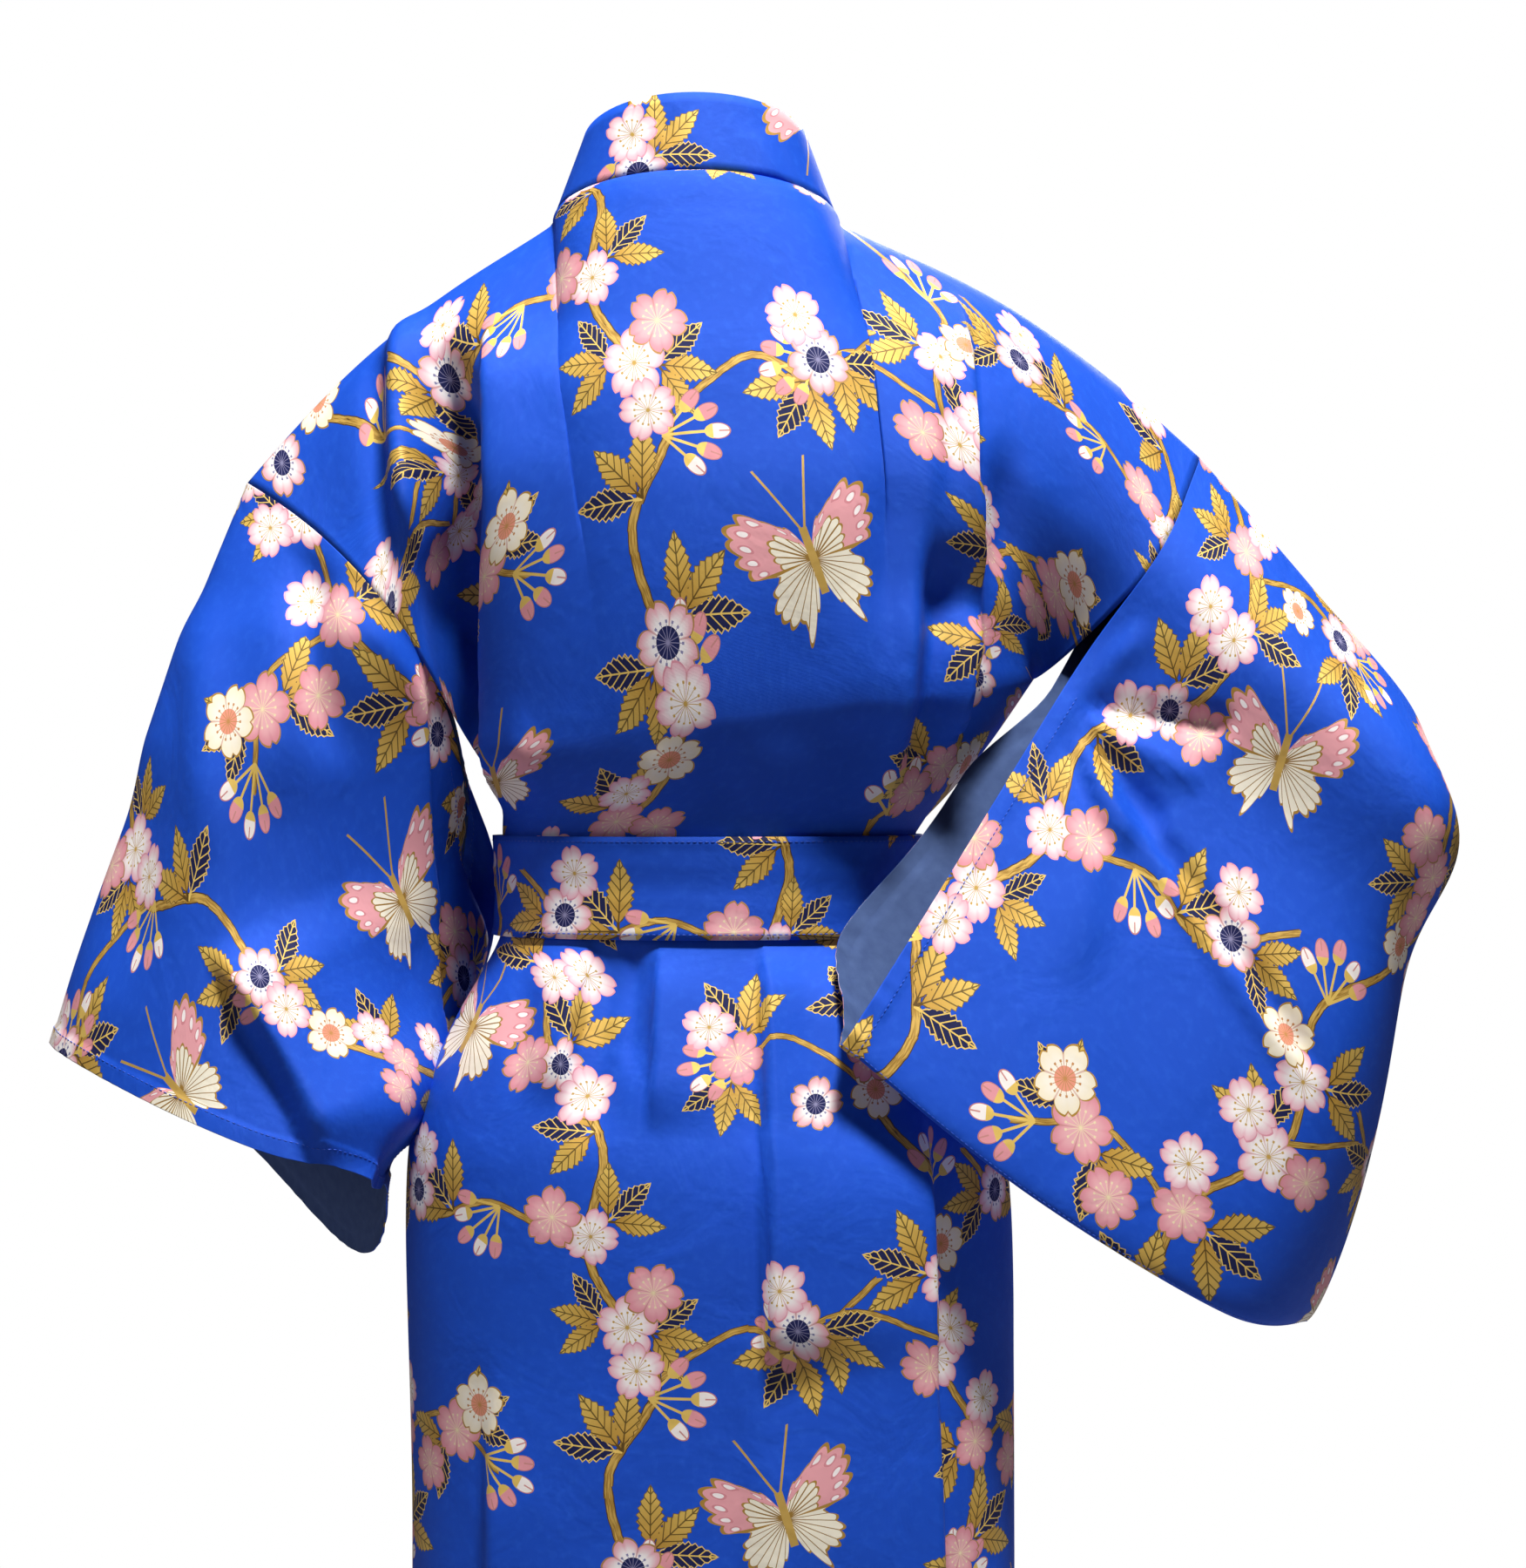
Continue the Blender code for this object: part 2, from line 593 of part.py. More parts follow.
def front_grid(sign):
    """The grid of a front, without gaps, from its side to its free edge."""
    shares = [number / SHOULDER_COLUMNS for number in range(SHOULDER_COLUMNS + 1)]
    grid = [[front_point(level, share, sign) for share in shares] for level in shared_levels()]
    grid = raised(grid, FRONT_FOLDS["left" if sign > 0 else "right"], False, forwards, FRONT_PLAIN)
    if sign > 0:
        normals = grid_normals(grid, False)
        for i, line in enumerate(grid):
            for j, point in enumerate(line):
                facing = normals[i][j] if normals[i][j].y < 0 else -normals[i][j]
                down = smooth(i / ARMHOLE_ROWS * LAP_RAMP)
                amount = LAP_LIFT * smooth(shares[j] / LAP_SHARE) * down
                line[j] = point + facing * amount
    return grid


def front_normals(grid, sign, sleeves):
    """The wall directions of a front, with those that it shares at its seams."""
    places = [sign * (1.0 + (NECK_SHARE - 1.0) * number / SHOULDER_COLUMNS)
              for number in range(SHOULDER_COLUMNS + 1)]
    return with_seams(outward_normals(grid, False, forwards), places, shared_levels(), sleeves, -1)


def build_front(name, sign, material, sleeves):
    """One front panel."""
    grid = front_grid(sign)
    normals = front_normals(grid, sign, sleeves)
    grid = pulled_back(grid, first_row=True, columns=(0, -1), armhole_columns=(0,))
    return cloth_wall(name, grid, False, PANEL_THICK, material, forwards, normals)


def build_collar(material, sleeves):
    """The band: up the right front edge, round the back of the neck, down the left one."""
    levels = shared_levels()
    shares = [number / BAND_COLUMNS for number in range(BAND_COLUMNS + 1)]
    half_line = {}
    for sign in (1, -1):
        edge = [line[-1] for line in front_grid(sign)]
        inner = [line[-2] for line in front_grid(sign)]
        stations = []
        for level, seam, beside in zip(levels, edge, inner):
            ease = smooth(level * COLLAR_TURN)
            stand = Vector((-sign * STAND_LEAN, 0.0, STAND_RISE))
            stand = stand.normalized() * BAND_WIDTH
            line = []
            for share in shares:
                flat = front_point(max(level, 1.0), 1.0, sign, share * BAND_WIDTH)
                flat -= front_point(max(level, 1.0), 1.0, sign)
                if level < 1.0:
                    away = (seam - beside).normalized()
                    flat = flat.lerp(away * BAND_WIDTH * share, 1.0 - ease)
                line.append(seam + flat * ease + stand * share * (1.0 - ease))
            stations.append(line)
        half_line[sign] = stations
    neck = []
    for number in range(1, NECK_COLUMNS):
        across = NECK_SHARE - 2.0 * NECK_SHARE * number / NECK_COLUMNS
        seam = shoulder_point(across)
        inward = Vector((-seam.x, -seam.y, 0.0)).normalized()
        back_share = math.cos(across / NECK_SHARE * math.pi / 2.0)
        stand = inward * STAND_LEAN * (1.0 - BACK_UPRIGHT * back_share) + Vector((0, 0, STAND_RISE))
        stand = stand.normalized() * BAND_WIDTH
        neck.append([seam + stand * share for share in shares])
    grid = list(reversed(half_line[1])) + neck + half_line[-1]

    def away_from_neck(place):
        return Vector((place.x, place.y, 0.0)) if place.z > NECK_SIDE.z else forwards(place)
    normals = outward_normals(grid, False, away_from_neck)
    seam_ways = [line[-1] for line in reversed(front_normals(front_grid(1), 1, sleeves))]
    seam_ways += [neck_way(NECK_SHARE - 2.0 * NECK_SHARE * number / NECK_COLUMNS)
                  for number in range(1, NECK_COLUMNS)]
    seam_ways += [line[-1] for line in front_normals(front_grid(-1), -1, sleeves)]
    for line, way in zip(normals, seam_ways):
        line[0] = way
    grid = pulled_back(grid, columns=(0,))
    return cloth_wall("collar", grid, False, COLLAR_THICK, material, away_from_neck, normals)


def build_sleeve(side, material, sleeves):
    """One sleeve: a flattened tube, open at its inner edge and at its cuff."""
    grid, normals = sleeves[side]
    grid = pulled_back(grid, first_row=True)
    return cloth_wall("sleeve_" + side, grid, True, PANEL_THICK, material, None, normals)


def waist_loop(z, clear):
    """A closed loop round the waist at a height, clear of the robe."""
    levels = [row[0] for row in SECTIONS]
    number = max(i for i in range(len(levels) - 1) if levels[i] >= z)
    level = 1.0 + number + (z - levels[number]) / (levels[number + 1] - levels[number])
    row = section_row(level)
    loop = []
    for number in range(BELT_COLUMNS):
        turn = number / BELT_COLUMNS * 4.0
        layer = 1 if turn < 2.0 else -1
        across = 1.0 - turn if turn < 2.0 else turn - 3.0
        point = section_point(row, across, layer)
        outward = Vector((point.x - (row["left"] + row["right"]) / 2.0, point.y, 0.0))
        half = (row["left"] - row["right"]) / 2.0
        outward = Vector((outward.x / half ** 2, outward.y / row["back"] ** 2, 0.0)).normalized()
        front_share = smooth((BELT_LAP_FROM - point.y) / BELT_LAP_OVER)
        point.z = z
        loop.append(point + outward * (clear + (LAP_LIFT + BELT_LAP_CLEAR) * front_share))
    return loop


def build_belt(material):
    """The belt, a closed band round the waist."""
    grid = []
    for number in range(BELT_ROWS + 1):
        z = BELT_TOP + (BELT_BOTTOM - BELT_TOP) * number / BELT_ROWS
        grid.append(waist_loop(z, BELT_CLEAR + BELT_THICK))
    return cloth_wall("belt", grid, True, BELT_THICK, material,
                      lambda place: Vector((place.x, place.y, 0.0)))


def build_knot(material):
    """The knot of the belt, in front."""
    mesh = bpy.data.meshes.new("belt_knot")
    work = bmesh.new()
    bmesh.ops.create_cube(work, size=1.0)
    bmesh.ops.bevel(work, geom=work.edges[:], offset=KNOT_BEVEL, segments=2,
                    affect="EDGES", profile=KNOT_PROFILE)
    bmesh.ops.triangulate(work, faces=work.faces)
    bmesh.ops.scale(work, vec=KNOT_SIZE, verts=work.verts)
    belt_step = (BELT_TOP - BELT_BOTTOM) / BELT_ROWS
    belt_front = min(point.y for z in (BELT_TOP - belt_step, BELT_BOTTOM + belt_step)
                     for point in waist_loop(z, BELT_CLEAR + BELT_THICK))
    place = Vector((0.0, belt_front - SEAM_GAP - KNOT_SIZE.y / 2.0, (BELT_TOP + BELT_BOTTOM) / 2.0))
    bmesh.ops.translate(work, vec=place, verts=work.verts)
    work.to_mesh(mesh)
    work.free()
    mesh.shade_smooth()
    mesh.materials.append(material)
    knot = bpy.data.objects.new("belt_knot", mesh)
    bpy.context.collection.objects.link(knot)
    return place


def build_tail(side, knot_place, material):
    """One free end of the belt, hanging from the knot over the fronts."""
    sign = 1.0 if side == "left" else -1.0
    length = TAIL_LENGTHS[side]
    top = knot_place.z - KNOT_SIZE.z / 2.0 - SEAM_GAP
    grid = []
    for number in range(TAIL_ROWS + 1):
        share = number / TAIL_ROWS
        z = top - length * share
        middle = sign * (TAIL_START + TAIL_SPREAD * smooth(share))
        swing = knot_place.y - TAIL_BACK - TAIL_SWING * smooth(share * TAIL_SWING_RATE)
        width = TAIL_NARROW + (1.0 - TAIL_NARROW) * smooth(share * TAIL_WIDEN_RATE)
        line = []
        for step in range(TAIL_STEPS + 1):
            side_share = step / TAIL_STEPS - 0.5
            curl = TAIL_CURL * math.cos(side_share * math.pi)
            line.append(Vector((middle + TAIL_WIDTH * width * side_share, swing + curl, z)))
        grid.append(line)
    return cloth_wall("belt_tail_" + side, grid, False, TAIL_THICK, material, forwards)


def main():
    """Clear the scene and build every piece."""
    for item in list(bpy.data.objects):
        bpy.data.objects.remove(item)
    names = ("back", "front_left", "front_right", "collar", "sleeve_left", "sleeve_right", "belt",
             "belt_knot", "belt_tail_left", "belt_tail_right")
    finish = {name: cloth_material(name + "_cotton", BLUE) for name in names}
    sleeves = {side: sleeve_shape(side) for side in ("left", "right")}
    build_back(finish["back"], sleeves)
    build_front("front_left", 1.0, finish["front_left"], sleeves)
    build_front("front_right", -1.0, finish["front_right"], sleeves)
    build_collar(finish["collar"], sleeves)
    build_sleeve("left", finish["sleeve_left"], sleeves)
    build_sleeve("right", finish["sleeve_right"], sleeves)
    build_belt(finish["belt"])
    knot_place = build_knot(finish["belt_knot"])
    build_tail("left", knot_place, finish["belt_tail_left"])
    build_tail("right", knot_place, finish["belt_tail_right"])


main()
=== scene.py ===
import math
import random

import bpy
import numpy as np
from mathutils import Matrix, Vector


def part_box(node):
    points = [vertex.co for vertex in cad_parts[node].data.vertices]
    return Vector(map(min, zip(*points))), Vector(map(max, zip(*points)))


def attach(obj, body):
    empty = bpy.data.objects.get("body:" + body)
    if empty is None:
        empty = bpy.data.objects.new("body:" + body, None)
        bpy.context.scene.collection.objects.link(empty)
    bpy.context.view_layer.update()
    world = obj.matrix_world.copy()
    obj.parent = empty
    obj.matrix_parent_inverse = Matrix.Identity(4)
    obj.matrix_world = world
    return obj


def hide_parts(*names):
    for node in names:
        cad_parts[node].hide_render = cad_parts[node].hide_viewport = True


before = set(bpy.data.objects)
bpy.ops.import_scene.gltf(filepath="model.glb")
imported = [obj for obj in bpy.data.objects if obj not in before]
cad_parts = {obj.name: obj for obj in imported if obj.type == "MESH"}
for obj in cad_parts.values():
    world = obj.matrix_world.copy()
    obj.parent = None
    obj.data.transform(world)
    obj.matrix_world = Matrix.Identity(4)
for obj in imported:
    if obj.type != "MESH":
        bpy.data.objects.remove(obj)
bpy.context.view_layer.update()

# The back
# One panel of printed cotton sateen from the shoulder line to the hem, cut flat and worn folded:
# a long pleat down each shoulder blade, gathers above the belt and a knife pleat below it.

SECTION_COLUMNS = ("z_left", "z_right", "left", "right", "back", "front", "nose_left",
                   "nose_right", "slit", "lap_left", "lap_right")
SECTIONS = (
    (-0.340, -0.296, 0.136, -0.208, 0.101, -0.112, 1.2, 1.4, 0.0060, -0.004, 0.004),
    (-0.360, -0.334, 0.124, -0.182, 0.094, -0.109, 1.0, 1.2, 0.0040, -0.018, 0.014),
    (-0.376, -0.364, 0.119, -0.158, 0.088, -0.106, 1.0, 1.0, 0.0020, -0.034, 0.026),
    (-0.390, -0.390, 0.119, -0.136, 0.083, -0.103, 1.0, 1.0, 0.0002, -0.046, 0.034),
    (-0.423, -0.423, 0.118, -0.133, 0.081, -0.101, 1.0, 1.0, 0.0002, -0.056, 0.040),
    (-0.456, -0.456, 0.121, -0.135, 0.083, -0.102, 1.0, 1.0, 0.0002, -0.062, 0.044),
    (-0.505, -0.505, 0.148, -0.163, 0.099, -0.108, 0.95, 0.95, 0.0002, -0.070, 0.050),
    (-0.555, -0.555, 0.170, -0.181, 0.112, -0.113, 0.9, 0.9, 0.0002, -0.074, 0.054),
    (-0.620, -0.620, 0.178, -0.194, 0.120, -0.118, 0.9, 0.9, 0.0002, -0.078, 0.058),
    (-0.820, -0.820, 0.174, -0.196, 0.119, -0.124, 0.9, 0.9, 0.0002, -0.086, 0.066),
    (-1.070, -1.070, 0.178, -0.196, 0.122, -0.132, 0.9, 0.9, 0.0002, -0.094, 0.074),
    (-1.320, -1.320, 0.186, -0.202, 0.128, -0.142, 0.9, 0.9, 0.0002, -0.100, 0.080),
)
SEWN = 0.60
NECK_SIDE = (0.088, 0.0, -0.016)
NECK_BACK_DEPTH = 0.066
NECK_SHARE = 0.30
NECK_RISE = 0.007
SHOULDER_ARCH = 0.016

# One row a ring of the sleeve, from the armhole to the cuff: share along, then top, middle and
# bottom point, the way the back layer faces, half thicknesses, drop of the front layer, lap
LEFT_RINGS = (
    (0.00, 0.278, -0.010, -0.174, 0.158, 0.004, -0.298, 0.160, -0.060, -0.455, 0, 0.050, 0.012,
     0.012, 0.000, 0.000),
    (0.35, 0.322, 0.000, -0.290, 0.225, 0.000, -0.400, 0.168, -0.054, -0.535, 0, 0.020, 0.050,
     0.060, 0.005, 0.000),
    (0.70, 0.365, 0.000, -0.420, 0.266, 0.018, -0.500, 0.187, 0.012, -0.584, 0, 0.005, 0.062,
     0.090, 0.030, 0.024),
    (1.00, 0.395, 0.000, -0.519, 0.281, 0.030, -0.567, 0.192, 0.040, -0.604, 0, 0.000, 0.066,
     0.125, 0.056, 0.030),
)
RIGHT_RINGS = (
    (0.00, -0.311, -0.010, -0.158, -0.203, 0.044, -0.330, -0.087, 0.126, -0.512, -12, 0.042, 0.012,
     0.012, 0.000, -0.020),
    (0.30, -0.378, 0.008, -0.240, -0.292, 0.052, -0.410, -0.196, 0.116, -0.600, -16, 0.044, 0.014,
     0.016, 0.000, 0.000),
    (0.58, -0.436, 0.020, -0.318, -0.388, 0.052, -0.490, -0.318, 0.080, -0.676, -38, 0.040, 0.016,
     0.016, 0.000, 0.000),
    (0.80, -0.420, -0.045, -0.352, -0.416, -0.020, -0.520, -0.374, 0.000, -0.692, -78, 0.036,
     0.016, 0.016, 0.000, 0.000),
    (1.00, -0.368, -0.105, -0.390, -0.374, -0.088, -0.545, -0.356, -0.066, -0.702, -108, 0.036,
     0.018, 0.018, 0.000, 0.000),
)
SLEEVES = {"left": (LEFT_RINGS, 0.62, 0.28, 0.20, -1.0),
           "right": (RIGHT_RINGS, 0.40, 0.16, 0.14, 1.0)}
DROP_LEAN = 2.2
TUCK_AT = 0.84
TUCK_SPREAD = 0.12
BAG_ROUND = 0.35
ARCH_LEAN = 1.2
SHOULDER_ROUND = 0.85
SEWN_LEAN = 0.75
ARMHOLE_PULL = 2.0
ROW_CROWD = 1.35

# Folds: start, end, width, height (below zero a trough), reach of a step (0 for a plain ridge),
# raised side of a step (1 for the wearer's left), fade of the ends
FOLD_COLUMNS = ("x0", "z0", "x1", "z1", "width", "height", "reach", "side", "fade")
BACK_FOLDS = (
    (0.121, -0.080, 0.117, -0.387, 0.003, 0.019, 0.080, -1, 0.050),
    (0.146, -0.090, 0.139, -0.360, 0.016, -0.058, 0.0, 1, 0.070),
    (0.172, -0.060, 0.170, -0.235, 0.012, 0.015, 0.0, 1, 0.050),
    (0.194, -0.075, 0.182, -0.260, 0.010, -0.006, 0.0, 1, 0.060),
    (-0.160, -0.060, -0.164, -0.265, 0.002, 0.020, 0.050, 1, 0.070),
    (-0.164, -0.245, -0.148, -0.350, 0.003, 0.018, 0.050, 1, 0.040),
    (-0.182, -0.150, -0.180, -0.250, 0.012, -0.010, 0.0, 1, 0.040),
    (-0.146, -0.060, -0.128, -0.240, 0.008, 0.008, 0.030, 1, 0.060),
    (-0.128, -0.200, -0.117, -0.387, 0.007, 0.012, 0.030, 1, 0.050),
    (-0.140, -0.210, -0.132, -0.360, 0.009, -0.013, 0.0, 1, 0.050),
    (-0.106, -0.160, -0.100, -0.380, 0.012, -0.004, 0.0, 1, 0.060),
    (-0.095, -0.300, -0.082, -0.385, 0.009, -0.004, 0.0, 1, 0.050),
    (-0.072, -0.220, -0.050, -0.385, 0.026, -0.006, 0.0, 1, 0.080),
    (0.050, -0.120, 0.072, -0.385, 0.030, -0.005, 0.0, 1, 0.090),
    (0.020, -0.330, 0.024, -0.390, 0.010, 0.003, 0.0, 1, 0.030),
    (-0.020, -0.320, -0.016, -0.390, 0.012, -0.003, 0.0, 1, 0.030),
    (0.092, -0.310, 0.088, -0.388, 0.008, 0.004, 0.0, 1, 0.035),
    (-0.040, -0.452, -0.044, -0.710, 0.0014, 0.016, 0.050, -1, 0.036),
    (-0.036, -0.700, -0.028, -1.320, 0.012, 0.006, 0.080, -1, 0.080),
    (0.061, -0.452, 0.078, -0.555, 0.0022, 0.011, 0.030, 1, 0.034),
    (0.048, -0.446, 0.062, -0.580, 0.014, -0.009, 0.0, 1, 0.040),
    (0.022, -0.452, 0.025, -0.570, 0.0022, 0.009, 0.030, -1, 0.034),
    (0.034, -0.446, 0.036, -0.540, 0.008, -0.006, 0.0, 1, 0.030),
    (0.092, -0.455, 0.110, -0.560, 0.010, -0.005, 0.0, 1, 0.050),
    (-0.076, -0.455, -0.090, -0.570, 0.010, 0.005, 0.0, 1, 0.050),
    (0.120, -0.690, 0.121, -1.320, 0.007, 0.011, 0.060, -1, 0.110),
    (-0.134, -0.520, -0.158, -1.320, 0.006, 0.020, 0.080, 1, 0.100),
    (-0.090, -0.800, -0.086, -1.320, 0.030, -0.005, 0.0, 1, 0.150),
    (0.050, -0.850, 0.060, -1.320, 0.026, 0.005, 0.0, 1, 0.150),
)


def ease(value):
    """Ease from 0 to 1, held at both ends."""
    value = np.clip(value, 0.0, 1.0)
    return value * value * (3.0 - 2.0 * value)


def spline(values, place):
    """A smooth curve through evenly numbered values, read at many places."""
    values = np.asarray(values, float)
    place = np.asarray(place, float)
    first = np.clip(np.floor(place).astype(int), 0, len(values) - 2)
    t = (place - first)[..., None]
    a = values[np.maximum(first - 1, 0)]
    b = values[first]
    c = values[first + 1]
    d = values[np.minimum(first + 2, len(values) - 1)]
    out = (c - a) / 2.0
    into = (d - b) / 2.0
    return ((2 * t ** 3 - 3 * t ** 2 + 1) * b + (t ** 3 - 2 * t ** 2 + t) * out
            + (3 * t ** 2 - 2 * t ** 3) * c + (t ** 3 - t ** 2) * into)


def unit(vectors):
    """Vectors of length one."""
    return vectors / np.maximum(np.linalg.norm(vectors, axis=-1, keepdims=True), 1e-9)


def ring_points(side, along, down, layer):
    """Points of a sleeve: along the arm, down from the top fold, layer 1 behind or -1 in front."""
    rings, armpit, arm_at, arm_spread, inward = SLEEVES[side]
    marks = [row[0] for row in rings]
    values = spline([row[1:] for row in rings], np.interp(along, marks, range(len(marks))))
    top, middle, low = values[..., 0:3], values[..., 3:6], values[..., 6:9]
    heading, arm, back_bag, front_bag, drop, tuck = [values[..., n] for n in range(9, 15)]
    handle = middle * 2.0 - (top + low) * 0.5
    share = np.asarray(down)[..., None]
    spine = top * (1 - share) ** 2 + handle * (2 * share * (1 - share)) + low * share ** 2
    heading = np.radians(heading)
    facing = np.stack([np.sin(heading), np.cos(heading), 0.0 * heading], -1)
    swell = np.exp(-((down - arm_at) / arm_spread) ** 2)
    round_off = np.maximum(0.0, np.sin(np.pi * down)) ** BAG_ROUND
    bag = np.where(layer > 0, back_bag, front_bag)
    points = spine + facing * (layer * (arm * swell + bag) * round_off)[..., None]
    lap = np.maximum(0.0, tuck * layer) * np.exp(-((down - TUCK_AT) / TUCK_SPREAD) ** 2)
    points[..., 0] += inward * lap * round_off
    points[..., 2] -= np.where(layer < 0, drop * np.sin(np.pi * down ** DROP_LEAN), 0.0)
    return points


def section_rows(level):
    """The columns of the body's table at many levels: 1 is the armpit."""
    values = spline(SECTIONS, np.asarray(level, float) - 1.0)
    return {name: values[..., n] for n, name in enumerate(SECTION_COLUMNS)}


def middle_and_half(row):
    """The middle of a body section and half its width."""
    return (row["left"] + row["right"]) / 2.0, (row["left"] - row["right"]) / 2.0


def section_points(row, across, layer):
    """Points of a body section: across from -1 (the wearer's right) to 1, back 1 or front -1."""
    centre, half = middle_and_half(row)
    angle = across * np.pi / 2.0
    nose = np.where(across > 0, row["nose_left"], row["nose_right"])
    depth = row["back"] if layer > 0 else row["front"]
    edge = layer * row["slit"]
    share = (np.sin(angle) + 1.0) / 2.0
    return np.stack([centre + half * np.sin(angle),
                     edge + (depth - edge) * np.maximum(0.0, np.cos(angle)) ** nose,
                     row["z_right"] + (row["z_left"] - row["z_right"]) * share], -1)


def shoulder_points(across):
    """Points of the shoulder and neck line, across from -1 (the wearer's right) to 1."""
    sign = np.where(across >= 0, 1.0, -1.0)
    size = np.abs(across)
    angle = np.minimum(size / NECK_SHARE, 1.0) * np.pi / 2.0
    neck = np.stack([sign * NECK_SIDE[0] * np.sin(angle), NECK_BACK_DEPTH * np.cos(angle),
                     NECK_SIDE[2] + (NECK_RISE - NECK_SIDE[2]) * np.cos(angle)], -1)
    run = np.clip((size - NECK_SHARE) / (1.0 - NECK_SHARE), 0.0, 1.0)
    zero = np.zeros_like(size)
    ends = np.where(sign[..., None] > 0, ring_points("left", zero, zero, zero + 1),
                    ring_points("right", zero, zero, zero + 1))
    start = np.stack([sign * NECK_SIDE[0], zero, zero + NECK_SIDE[2]], -1)
    slope = start + (ends - start) * run[..., None]
    slope[..., 2] += SHOULDER_ARCH * np.sin(np.pi * run ** ARCH_LEAN)
    return np.where((size <= NECK_SHARE)[..., None], neck, slope)


def over_shoulder(top, bottom, level):
    """Between the shoulder line (0) and the armpit section (1), rounded over the shoulder."""
    fall = 1.0 - np.cos(level * np.pi / 2.0)
    swell = np.maximum(0.0, np.sin(level * np.pi / 2.0)) ** SHOULDER_ROUND
    return top + (bottom - top) * np.stack([fall, swell, fall], -1)


def toward_armhole(points, side, across, level, layer, top, bottom):
    """Pull points near the side onto the armhole edge."""
    armpit = SLEEVES[side][1]
    edge = ring_points(side, 0.0 * level, level * armpit, 0.0 * level + layer)
    eased = (ease((level - SEWN) / (1.0 - SEWN)) ** SEWN_LEAN)[..., None]
    edge = edge + (bottom - edge) * eased
    share = (np.abs(across) ** ARMHOLE_PULL)[..., None]
    return points + (edge - over_shoulder(top, bottom, level)) * share


def back_points(level, across):
    """Points of the back: level from 0 at the shoulder, across from -1 to 1."""
    low = section_points(section_rows(np.maximum(level, 1.0)), across, 1)
    upper = np.minimum(level, 1.0)
    armpit = section_rows(np.ones_like(level))
    points = over_shoulder(shoulder_points(across), section_points(armpit, across, 1), upper)
    for side, end in (("left", 1.0), ("right", -1.0)):
        ends = np.full_like(across, end)
        pulled = toward_armhole(points, side, across, upper, 1, shoulder_points(ends),
                                section_points(armpit, ends, 1))
        points = np.where((across * end > 0)[..., None], pulled, points)
    return np.where((level >= 1.0)[..., None], low, points)


def fold_height(folds, x, z):
    """How far the folds of a table raise the cloth at many places."""
    total = np.zeros_like(x)
    for row in folds:
        fold = dict(zip(FOLD_COLUMNS, row))
        run = np.array([fold["x1"] - fold["x0"], fold["z1"] - fold["z0"]])
        length = np.linalg.norm(run)
        run = run / length
        dx = x - fold["x0"]
        dz = z - fold["z0"]
        along = dx * run[0] + dz * run[1]
        beside = (dx * -run[1] + dz * run[0]) * fold["side"]
        fade = ease(along / fold["fade"]) * ease((length - along) / fold["fade"])
        if fold["reach"] > 0.0:
            shape = (ease(0.5 + beside / (2.0 * fold["width"]))
                     * np.exp(-np.maximum(0.0, beside) / fold["reach"]))
        else:
            shape = np.exp(-(beside / fold["width"]) ** 2)
        total += fold["height"] * fade * shape
    return total


def grid_normals(grid, outward):
    """A unit normal for each point of a grid, turned the way that outward points."""
    normals = unit(np.cross(np.gradient(grid, axis=1), np.gradient(grid, axis=0)))
    return normals if np.sum(normals * outward) > 0 else -normals


def levels_down(step):
    """Levels of the rows of a body panel, about one step of cloth apart."""
    upper = np.linspace(0.0, 1.0, ARMHOLE_STEPS, endpoint=False) ** ROW_CROWD
    heights = [(row[0] + row[1]) / 2.0 for row in SECTIONS]
    levels = [upper]
    for number in range(len(heights) - 1):
        count = max(2, round((heights[number] - heights[number + 1]) / step))
        levels.append(1.0 + number + np.arange(count) / count)
    return np.concatenate(levels + [[float(len(heights))]])


def way_down(grid):
    """Distance over the cloth from a grid's first row, column by column."""
    way = np.cumsum(np.linalg.norm(np.diff(grid, axis=0), axis=2), axis=0)
    return np.concatenate([np.zeros((1, grid.shape[1])), way])


def mean_way(grid, axis):
    """Distance over the cloth along one axis of a grid, averaged over the other."""
    steps = np.linalg.norm(np.diff(grid, axis=axis), axis=2).mean(axis=1 - axis)
    return np.concatenate([[0.0], np.cumsum(steps)])


def cloth_places(grid, middle):
    """Flat places of a grid in metres: across from its middle column, down from its first row."""
    across = np.linalg.norm(np.diff(grid, axis=1), axis=2)
    across = np.concatenate([np.zeros((len(grid), 1)), np.cumsum(across, axis=1)], axis=1)
    down = mean_way(grid, 0)
    across = across - across[:, middle:middle + 1]
    return np.stack([across, np.broadcast_to(-down[:, None], across.shape)], -1)


# Chart of the print: a repeat of branches with twigs, blossoms, leaf sprays, buds and butterflies
REPEAT = np.array([0.42, 0.56])
BRANCHES = (
    (0.0030, ((0.06, 0.00), (0.08, 0.07), (0.05, 0.13), (0.09, 0.20), (0.08, 0.27), (0.13, 0.33),
              (0.12, 0.41), (0.07, 0.48), (0.06, 0.56))),
    (0.0026, ((0.27, 0.00), (0.25, 0.08), (0.29, 0.15), (0.28, 0.23), (0.33, 0.30), (0.31, 0.38),
              (0.34, 0.46), (0.29, 0.51), (0.27, 0.56))),
    (0.0022, ((0.09, 0.20), (0.15, 0.23), (0.20, 0.22), (0.24, 0.25))),
    (0.0022, ((0.05, 0.13), (0.00, 0.16), (-0.04, 0.15), (-0.08, 0.18))),
    (0.0022, ((0.12, 0.41), (0.17, 0.44), (0.22, 0.43))),
    (0.0020, ((0.29, 0.15), (0.34, 0.17), (0.38, 0.16))),
    (0.0020, ((0.33, 0.30), (0.38, 0.33), (0.42, 0.32))),
    (0.0020, ((0.25, 0.08), (0.20, 0.10), (0.16, 0.08))),
)
